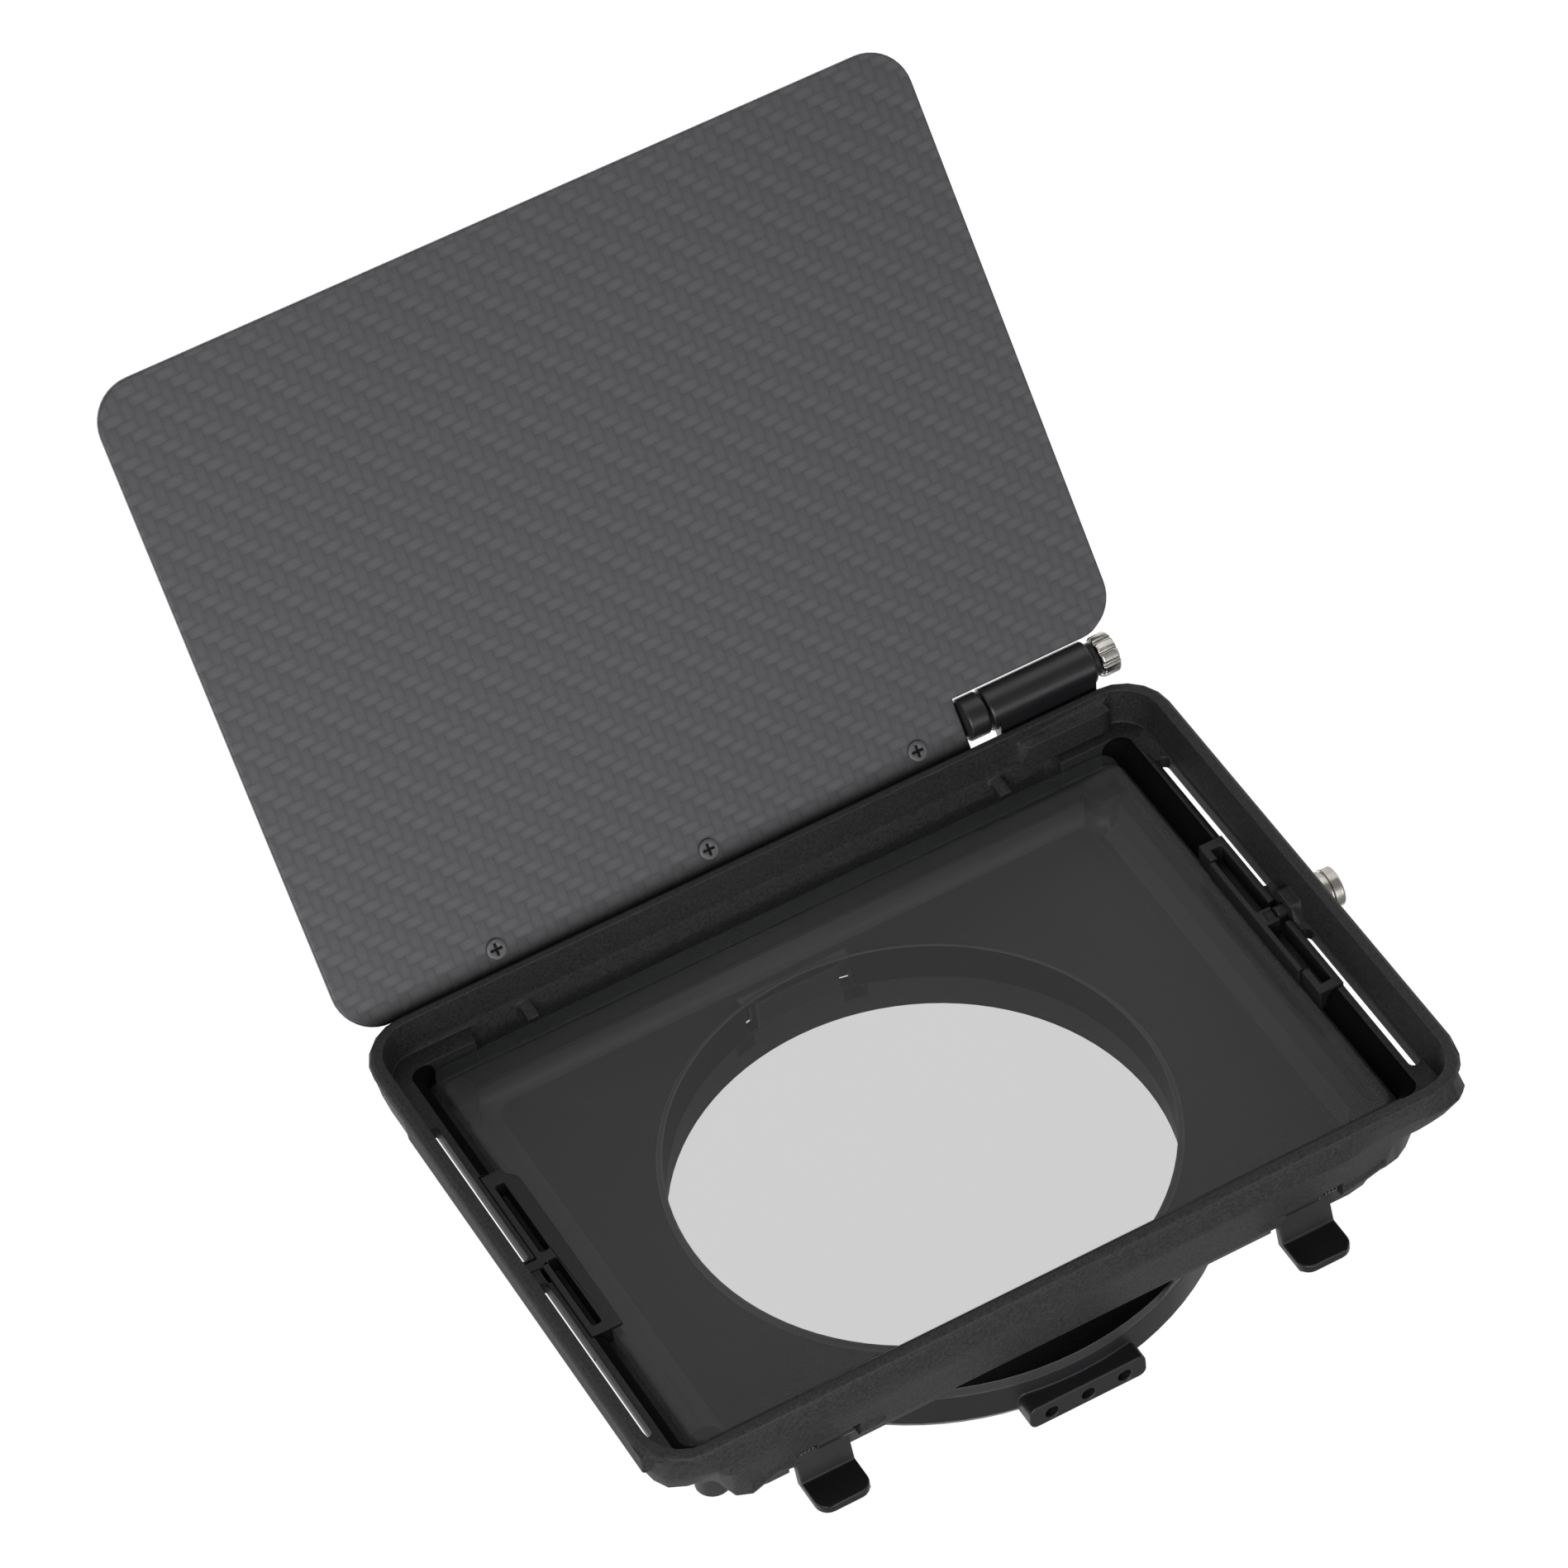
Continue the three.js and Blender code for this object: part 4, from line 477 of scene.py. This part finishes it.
def filter_face(name):
    """Clear glass with a little dust and the clouds that cleaning leaves."""
    material, shader = new_material(name)
    place = object_place(material)
    dust = noise(material, place, 0.6, detail=2.0)
    cleaning = noise(material, place, 38, detail=2.0)
    tinted = blend_colours(material, spread(material, cleaning, 0.0, 1.0), linear("#242525"),
                           linear("#292a29"))
    dusty = blend_colours(material, spread(material, dust, 0.0, 0.06), tinted, linear("#3c3d3c"))
    set_inputs(material, shader, IOR=FACE_IOR, Alpha=FACE_ALPHA, Base_Color=dusty,
               Roughness=spread(material, cleaning, 0.06, 0.1))
    return material


def ground_edge(name):
    """Glass ground with fine grit."""
    material, shader = new_material(name)
    place = object_place(material)
    grit = noise(material, place, 0.18, detail=3.0)
    frosted = blend_colours(material, spread(material, grit, 0.0, 1.0), linear("#3f4140"),
                            linear("#525554"))
    set_inputs(material, shader, Alpha=EDGE_ALPHA, Base_Color=frosted,
               Roughness=spread(material, grit, 0.38, 0.55),
               Normal=bump(material, grit, 0.01))
    return material


glass_face = filter_face("filter_glass_face")
glass_edge = ground_edge("filter_ground_edge")
print("glass lets", round((1 - FACE_ALPHA) ** 2, 2), "of the light through both faces")

# %% [markdown]
# ## The hood's two lower corners
# The outline of the hood's lower corners is a freehand curve, fuller in one place and flatter in
# another than the round of the CAD model. Sculpting would bend it by eye. A table is surer: for
# each corner it gives how far the outline moves outwards, in mm, at an angle round the corner. The
# angle is taken as the camera sees it, so a point is first carried along its line of sight to the
# plane of the rim's front.

# %% How far a corner moves
# The camera's place in whole mm.
EYE_X, EYE_Y, EYE_Z = -381, -1109, -823
RIM_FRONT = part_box("hood_frame")[0].y
# A move starts this far inside a corner's radius and is whole at the radius.
FADE_MM = 5
# Each corner has a centre in x and z, a radius, and pairs of an angle and a move.
CORNERS = (
    (66, -50, 15.2, ((-130, 0), (-118, -1.5), (-100, -1.5), (-76, -1.3), (-58, 0.3),
                     (-46, 1.4), (-30, 1.4), (-26, 0))),
    (-66, -50, 20.2, ((-144, 0), (-138, -0.9), (-132, -1.7), (-126, -3.1), (-119, -2.9),
                      (-113, 0), (-108, 1.4), (-99, 0.6), (-90, -0.6), (-78, 0))),
)


def corner_move(point):
    """The outward move of one point: none up to 2 mm behind the rim's front, all of it at 5."""
    x, depth, z = point.x / MM, (point.y - RIM_FRONT) / MM, point.z / MM
    seen_x = x - depth * (x - EYE_X) / -EYE_Y
    seen_z = z - depth * (z - EYE_Z) / -EYE_Y
    for corner_x, corner_z, reach, steps in CORNERS:
        angle = math.degrees(math.atan2(seen_z - corner_z, seen_x - corner_x))
        radius = math.hypot(seen_x - corner_x, seen_z - corner_z)
        near = (radius - reach + FADE_MM) / FADE_MM
        share = max(0, min(near, 1)) * max(0, min((depth - 2) / 3, 1))
        for (start, first), (end, last) in zip(steps, steps[1:]):
            if start <= angle < end:
                move = (first + (last - first) * (angle - start) / (end - start)) * share * MM
                turn = math.radians(angle)
                return Vector((math.cos(turn), 0, math.sin(turn))) * move
    return Vector()


print("the rim's front is at y", RIM_FRONT)

# %% [markdown]
# ## Small changes of shape
# A long flat face can't bend, so the hood is first cut across every 4 mm. The outer right wall then
# comes in a little at its foot. The flag's notch closes up round the hinge barrel, but no further
# than the flag's fold leaves room for, and the latch in the aperture gets slightly narrower.

# %% Shapes of the hood, the flag and the latch
RIGHT_WALL, WALL_FOOT = 82.9 * MM, -49.5 * MM
NOTCH_SIDE = (46.5 * MM, 47.1 * MM)
NOTCH_FLOOR_MM = (4.5, 5.2)
LATCH_WIDTH = 0.92


def shape_hood(shape):
    """Cuts the hood across and moves its corners and the foot of its right wall."""
    for cut in range(-80, 81, 4):
        everything = shape.verts[:] + shape.edges[:] + shape.faces[:]
        bmesh.ops.bisect_plane(shape, geom=everything, dist=0.01 * MM,
                               plane_co=(cut * MM, 0, 0), plane_no=(1, 0, 0))
    for vertex in shape.verts:
        vertex.co += corner_move(vertex.co)
        if vertex.co.x > RIGHT_WALL and vertex.co.z < WALL_FOOT:
            vertex.co.x -= 0.7 * MM


def shape_flag(shape):
    """Moves the two sides of the notch towards the hinge barrel."""
    side_start, side_end = NOTCH_SIDE
    floor_start, floor_end = NOTCH_FLOOR_MM
    outward = Vector((0, -math.cos(FLAG_ANGLE), math.sin(FLAG_ANGLE)))
    for vertex in shape.verts:
        out_mm = (vertex.co - HINGE).dot(outward) / MM
        if vertex.co.x > side_start and floor_start < out_mm < floor_end:
            vertex.co -= outward * 0.15 * MM
        if side_start < vertex.co.x < side_end and out_mm < floor_end:
            vertex.co.x += 0.2 * MM


def shape_latch(shape):
    """Narrows the latch about the middle of the hood."""
    for vertex in shape.verts:
        vertex.co.x *= LATCH_WIDTH


SHAPERS = {"hood_frame": shape_hood, "flag_panel": shape_flag, "aperture_latch": shape_latch}

# %% [markdown]
# ## Merging a CAD node
# A CAD node is a heap of loose triangles. A round can only be put on a true edge, so the points
# that lie together are merged first, and triangles that lie in one plane become one face.

# %% Merge the triangles
def merged(node_name):
    """The CAD node's triangles merged into smooth-shaded whole faces."""
    shape = bmesh.new()
    shape.from_mesh(nodes[node_name].data)
    bmesh.ops.remove_doubles(shape, verts=shape.verts, dist=0.002 * MM)
    bmesh.ops.join_triangles(shape, faces=shape.faces, angle_face_threshold=math.radians(0.3),
                             angle_shape_threshold=math.radians(50))
    for face in shape.faces:
        face.smooth = True
        face.material_index = 0
    return shape


# %% [markdown]
# ## Easing the edges
# A Bevel modifier puts a small round on every edge that turns by more than 28 degrees, so that it
# catches a line of light. Weighted normals keep the flat faces flat beside it. The hood and the
# rear stage get no round in the mesh, because their material rounds the edges.

# %% Copy with eased edges
SHARP = math.radians(28)


def eased(node_name, width_mm, material):
    """Copies a CAD node as a new piece and gives its edges a round of width_mm."""
    mesh = nodes[node_name].data.copy()
    mesh.materials.clear()
    mesh.materials.append(material)
    piece = bpy.data.objects.new(node_name + "_finished", mesh)
    scene.collection.objects.link(piece)
    shape = merged(node_name)
    if node_name in SHAPERS:
        SHAPERS[node_name](shape)
    shape.to_mesh(mesh)
    shape.free()
    if width_mm:
        ease = piece.modifiers.new("ease", "BEVEL")
        ease.width = width_mm * MM
        ease.segments = 2
        ease.limit_method = "ANGLE"
        ease.angle_limit = SHARP
        ease.use_clamp_overlap = False
        ease.harden_normals = False
    else:
        mesh.set_sharp_from_angle(angle=SHARP)
    smooth = piece.modifiers.new("smooth", "WEIGHTED_NORMAL")
    smooth.keep_sharp = True
    return piece


# %% [markdown]
# ## Handing a piece over
# The hinges and slides belong to the CAD model's bodies. A finished piece is turned into a plain
# mesh, given to its body, and shown in place of the node that it was copied from.

# %% Settle a piece
def settle(piece, body, *replaced):
    """Applies a piece's modifiers, gives it to a CAD body and hides the nodes it stands for."""
    bpy.context.view_layer.update()
    evaluated = piece.evaluated_get(bpy.context.evaluated_depsgraph_get())
    final = bpy.data.meshes.new_from_object(evaluated)
    piece.modifiers.clear()
    piece.data = final
    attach(piece, body)
    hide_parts(*replaced)
    return piece


# %% [markdown]
# ## One finish for each piece
# The table gives each piece the width of its round, in mm, and its material. Small screws have
# small rounds, and cast or painted pieces have larger ones.

# %% Dress the pieces
finishes = {
    "hood_frame": (0, hood_nylon),
    "rear_stage": (0, stage_nylon),
    "aperture_latch": (0.2, latch_nylon),
    "lens_clamp_ring": (0.25, ring_anodised),
    "ring_clamp_screw": (0.12, screw_black),
    "stage_screw_1": (0.2, screw_black),
    "stage_screw_2": (0.2, screw_black),
    "stage_screw_3": (0.2, screw_black),
    "stage_screw_4": (0.2, screw_black),
    "filter_left_clip": (0.2, clip_nylon),
    "pad_bracket": (0.2, clip_nylon),
    "filter_clamp_pad": (0.2, clip_nylon),
    "flag_hinge_barrel": (0.2, hinge_anodised),
    "hinge_foot_screw_1": (0.25, screw_black),
    "hinge_foot_screw_2": (0.25, screw_black),
    "clamp_thumbscrew": (0.12, bright_steel),
    "eject_lever_right": (0.3, lever_finish),
    "eject_lever_left": (0.3, lever_finish),
    "lever_pin_right": (0.1, screw_black),
    "lever_pin_left": (0.1, screw_black),
    "flag_panel": (0.15, flag_carbon),
    "flag_hinge_leaf": (0.2, hinge_anodised),
    "flag_screw_1": (0.08, flag_screw_zinc),
    "flag_screw_2": (0.08, flag_screw_zinc),
    "flag_screw_3": (0.08, flag_screw_zinc),
    "hinge_shaft": (0.15, screw_black),
    "hinge_washer": (0.12, clip_nylon),
    "tension_knob": (0.1, knob_steel),
}
body_of = {name: nodes[name]["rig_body"] for name in nodes}
for name, (width, material) in finishes.items():
    piece = settle(eased(name, width, material), body_of[name], name)
    print(piece.name, len(piece.data.polygons), "faces")

# %% [markdown]
# ## Second finishes
# Some pieces have more than one finish. The thumbscrew is bright only outside the hood, the tray
# has smoother sloped coves with a painted highlight and a dull bore, and the channels beside the
# filter and the gap between the stage and the ring, where no light gets in, get a painted shade,
# near black. Such faces could be picked by hand in Edit Mode.
# A rule on where a face lies and which way it looks does the same in a script.

# %% Paint single faces
def paint_faces(name, material, belongs):
    """Gives a second material to the faces whose centre and normal belong."""
    mesh = bpy.data.objects[name + "_finished"].data
    mesh.materials.append(material)
    chosen = [face for face in mesh.polygons if belongs(face.center, face.normal)]
    for face in chosen:
        face.material_index = len(mesh.materials) - 1
    print(name, material.name, len(chosen), "faces")


def from_axis(centre):
    """The distance from the lens axis."""
    return math.hypot(centre.x, centre.z)


hood_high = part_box("hood_frame")[1]
stage_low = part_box("rear_stage")[0]
glass_low, glass_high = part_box("filter_glass")
TRAY_FLOOR = RIM_FRONT + 25.2 * MM
BEAD_OUTSIDE, STAGE_BORE, RING_BORE = 50 * MM, 48 * MM, 49.5 * MM
CHANNEL_WALL, CHANNEL_HALF_HEIGHT = 76 * MM, 53 * MM

paint_faces("clamp_thumbscrew", shank_steel, lambda centre, normal: centre.x < hood_high.x)
# The sloped coves get a lighter grey, a painted highlight.
paint_faces("rear_stage", cove_painted_light, lambda centre, normal:
            -0.97 < normal.y < -0.1 and centre.y < TRAY_FLOOR - 0.1 * MM
            and from_axis(centre) > BEAD_OUTSIDE)
# The aperture's bead gets a lighter grey still, painted highlight lines round the aperture.
paint_faces("rear_stage", bead_painted_highlight, lambda centre, normal:
            from_axis(centre) < BEAD_OUTSIDE and normal.y < -0.1 and centre.y < TRAY_FLOOR)
paint_faces("rear_stage", bore_nylon, lambda centre, normal:
            from_axis(centre) < STAGE_BORE and abs(normal.y) < 0.5)
# Painted shade in the gap between the stage and the ring.
paint_faces("rear_stage", channel_painted_shade, lambda centre, normal:
            normal.y < -0.9 and TRAY_FLOOR + 0.2 * MM < centre.y < TRAY_FLOOR + 1.0 * MM
            and centre.z < -45 * MM)
paint_faces("lens_clamp_ring", ring_bore, lambda centre, normal:
            from_axis(centre) < RING_BORE and abs(normal.y) < 0.5)
# Painted shade in the channels beside the filter.
paint_faces("hood_frame", channel_painted_shade, lambda centre, normal:
            glass_high.x - 0.8 * MM < abs(centre.x) < CHANNEL_WALL
            and abs(centre.z) < CHANNEL_HALF_HEIGHT
            and glass_low.y - 4 * MM < centre.y < stage_low.y and centre.x * normal.x < 0)

# %% [markdown]
# ## Crosses in the flag's screws
# The cross in each flag screw is a deep recess that hardly any light reaches, so it gets a
# painted shade, near black. Its faces are the ones near the screw's axis that lie below the top of
# the head.

# %% Screw recesses
FLAG_UNDERSIDE = Vector((0, -math.sin(FLAG_ANGLE), -math.cos(FLAG_ANGLE)))
RECESS_RADIUS = 1.3 * MM
for number in (1, 2, 3):
    screw = bpy.data.objects[f"flag_screw_{number}_finished"]
    points = [vertex.co for vertex in screw.data.vertices]
    middle = sum(points, Vector()) / len(points)
    head_top = max((point - middle).dot(FLAG_UNDERSIDE) for point in points)
    paint_faces(f"flag_screw_{number}", recess_painted_shade, lambda centre, normal:
                (centre - middle).dot(FLAG_UNDERSIDE) < head_top - 0.1 * MM
                and (centre - middle).cross(FLAG_UNDERSIDE).length < RECESS_RADIUS)

# %% [markdown]
# ## The filter
# The filter keeps its CAD shape, flat and sharp, as ground glass is. Its two large faces get the
# clear glass and its rim the ground edge.

# %% Filter
pane = eased("filter_glass", 0.1, glass_face)
pane.modifiers.clear()
pane.data.materials.append(glass_edge)
for face in pane.data.polygons:
    face.material_index = 0 if abs(face.normal.y) > 0.9 else 1
    face.use_smooth = False
settle(pane, body_of["filter_glass"], "filter_glass")
print("filter faces", len(pane.data.polygons))

# %% [markdown]
# ## Wound springs
# Each eject lever is pushed back by a small coil spring of steel wire. A coil could be a Screw
# modifier on a circle, but one Geometry Nodes tree winds both springs from their number of turns,
# their radius, their length and their wire, and any of these can be changed later.

# %% Spring nodes
TURNS = 4.0
WIRE_RADIUS = 0.22 * MM
END_GAP = 0.15 * MM


def spring_tree():
    """Returns the tree and the identifier of each of its named inputs."""
    tree = bpy.data.node_groups.new("wound_spring", "GeometryNodeTree")
    tree.is_modifier = True
    sizes = {}
    for name, value in (("Turns", TURNS), ("Coil Radius", 1.45 * MM), ("Length", 2.9 * MM),
                        ("Wire Radius", WIRE_RADIUS)):
        socket = tree.interface.new_socket(name, in_out="INPUT", socket_type="NodeSocketFloat")
        socket.default_value = value
        sizes[name] = socket.identifier
    socket = tree.interface.new_socket("Material", in_out="INPUT",
                                       socket_type="NodeSocketMaterial")
    sizes["Material"] = socket.identifier
    tree.interface.new_socket("Geometry", in_out="OUTPUT", socket_type="NodeSocketGeometry")
    given = add(tree, "NodeGroupInput").outputs
    spiral = add(tree, "GeometryNodeCurveSpiral", Resolution=28, Rotations=given["Turns"],
                 Start_Radius=given["Coil Radius"], End_Radius=given["Coil Radius"],
                 Height=given["Length"])
    circle = add(tree, "GeometryNodeCurvePrimitiveCircle", Resolution=10,
                 Radius=given["Wire Radius"])
    tube = add(tree, "GeometryNodeCurveToMesh", Curve=spiral.outputs["Curve"],
               Profile_Curve=circle.outputs["Curve"], Fill_Caps=True)
    laid = add(tree, "GeometryNodeTransform", Geometry=tube.outputs["Mesh"],
               Rotation=(0.0, math.pi / 2, 0.0))
    real = add(tree, "GeometryNodeRealizeInstances", Geometry=laid.outputs["Geometry"])
    smooth = add(tree, "GeometryNodeSetShadeSmooth", Geometry=real.outputs["Geometry"])
    painted = add(tree, "GeometryNodeSetMaterial", Geometry=smooth.outputs["Geometry"],
                  Material=given["Material"])
    add(tree, "NodeGroupOutput", Geometry=painted.outputs["Geometry"])
    return tree, sizes


wound_spring, spring_sizes = spring_tree()
print("spring inputs", list(spring_sizes))

# %% [markdown]
# The tree winds a spring at the origin. The result is turned into a plain mesh, and the mesh is
# moved to the lever, so that the object itself stays at the origin like every CAD node.

# %% Wind the two springs
for side in ("right", "left"):
    node_name = f"lever_spring_{side}"
    low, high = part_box(node_name)
    spring = bpy.data.objects.new(node_name + "_wound", bpy.data.meshes.new(node_name))
    scene.collection.objects.link(spring)
    wind = spring.modifiers.new("wind", "NODES")
    wind.node_group = wound_spring
    wind[spring_sizes["Turns"]] = TURNS
    wind[spring_sizes["Coil Radius"]] = (high.z - low.z) / 2 - WIRE_RADIUS
    wind[spring_sizes["Length"]] = high.x - low.x - 2 * END_GAP
    wind[spring_sizes["Wire Radius"]] = WIRE_RADIUS
    wind[spring_sizes["Material"]] = spring_steel
    start = Vector((low.x + END_GAP, (low.y + high.y) / 2, (low.z + high.z) / 2))
    bpy.context.view_layer.update()
    evaluated = spring.evaluated_get(bpy.context.evaluated_depsgraph_get())
    final = bpy.data.meshes.new_from_object(evaluated)
    final.transform(Matrix.Translation(start))
    spring.modifiers.clear()
    spring.data = final
    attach(spring, body_of[node_name])
    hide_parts(node_name)
    print(spring.name, len(final.vertices), "vertices")

# %% [markdown]
# ## Lamps
# The photograph was taken in a white studio, with soft light from all sides. Two lamps below the
# object stand for the light that comes up from the pale floor, a weak one for the light from the
# front right, and one for a light above and behind, which draws the bright line on the rim.

# %% Four soft lamps
LAMP_AIM = Vector((0.0, -0.04, 0.02))


def soft_lamp(name, place, size, power):
    """A round lamp that points at the object and isn't seen by the camera."""
    data = bpy.data.lights.new(name, "AREA")
    data.shape = "DISK"
    data.size = size
    data.energy = power
    lamp = bpy.data.objects.new(name, data)
    scene.collection.objects.link(lamp)
    lamp.location = place
    lamp.rotation_euler = (LAMP_AIM - Vector(place)).to_track_quat("-Z", "Y").to_euler()
    lamp.visible_camera = False
    print(name, power, "W")


soft_lamp("lamp_below_left", (-0.45, -0.3, -0.86), 0.8, 10.0)
soft_lamp("lamp_below", (0.05, -0.1, -0.88), 0.8, 3.0)
soft_lamp("lamp_front", (0.75, -1.2, 0.35), 0.9, 0.8)
soft_lamp("lamp_top_back", (0.2, 0.7, 1.0), 1.0, 5.0)

# %% [markdown]
# ## Floor
# A pale floor lies far enough below that the object casts no hard shadow on it. To the camera it
# glows a little, so that it melts into the white background.

# %% Pale floor
FLOOR_Z = -0.95
FLOOR_HALF = 9
FLOOR_GLOW = 0.45

floor_material, floor_shader = new_material("pale_floor")
floor_cloud = add(floor_material, "ShaderNodeTexNoise", Vector=object_place(floor_material),
                  Scale=3.0).outputs["Fac"]
seen = add(floor_material, "ShaderNodeLightPath").outputs["Is Camera Ray"]
set_inputs(floor_material, floor_shader, Roughness=0.8, Emission_Color=linear("#ffffff"),
           Emission_Strength=maths(floor_material, "MULTIPLY", seen, FLOOR_GLOW),
           Base_Color=blend_colours(floor_material, floor_cloud, linear("#f0f0ef"),
                                    linear("#f5f5f4")))
floor_mesh = bpy.data.meshes.new("floor")
floor_corners = [(-FLOOR_HALF, -FLOOR_HALF, 0), (FLOOR_HALF, -FLOOR_HALF, 0),
                 (FLOOR_HALF, FLOOR_HALF, 0), (-FLOOR_HALF, FLOOR_HALF, 0)]
floor_mesh.from_pydata(floor_corners, [], [(0, 1, 2, 3)])
floor_mesh.materials.append(floor_material)
floor = bpy.data.objects.new("floor", floor_mesh)
scene.collection.objects.link(floor)
floor.location.z = FLOOR_Z
print("floor at", FLOOR_Z, "m")

# %% [markdown]
# ## World
# The world is plain white to the camera, in reflections and through glass. As a light it is
# weaker, so that the lamps can shape the object. The Light Path node tells which ray is asking.

# %% White surroundings
FILL_LIGHT = 0.3

world = bpy.data.worlds.new("white_studio")
scene.world = world
world.use_nodes = True
world.node_tree.nodes.clear()
ray = add(world, "ShaderNodeLightPath").outputs
camera_or_glossy = maths(world, "MAXIMUM", ray["Is Camera Ray"], ray["Is Glossy Ray"])
seen_white = maths(world, "MAXIMUM", camera_or_glossy, ray["Is Transmission Ray"])
strength = add(world, "ShaderNodeMapRange", Value=seen_white, To_Min=FILL_LIGHT,
               To_Max=1.0).outputs[0]
background = add(world, "ShaderNodeBackground", Color=(1.0, 1.0, 1.0, 1.0), Strength=strength)
add(world, "ShaderNodeOutputWorld", Surface=background.outputs[0])
scene.view_settings.view_transform = "Standard"
print("world lights with", FILL_LIGHT, "and is seen as 1")

# %% [markdown]
# ## Camera
# The place, the turn and the lens come from matching the rim's corners, the filter, the aperture
# and the flag with the photograph. Two directions are enough to give the turn: what the camera
# calls right and what it calls up. The third, backwards, stands square on both.

# %% Camera
LENS_MM = 178.98
CAMERA_PLACE = Vector((-0.38095, -1.10897, -0.82325))
RIGHT = Vector((0.87102, 0.08366, -0.48407))
UP = Vector((0.40884, -0.66974, 0.61992))

camera_data = bpy.data.cameras.new("photo_camera")
camera_data.sensor_width = 36
camera_data.lens = LENS_MM
camera = bpy.data.objects.new("photo_camera", camera_data)
scene.collection.objects.link(camera)
camera_turn = Matrix((RIGHT, UP, RIGHT.cross(UP).normalized())).transposed()
camera.matrix_world = Matrix.Translation(CAMERA_PLACE) @ camera_turn.to_4x4()
scene.camera = camera
print("camera", round(CAMERA_PLACE.length, 2), "m from the ring")
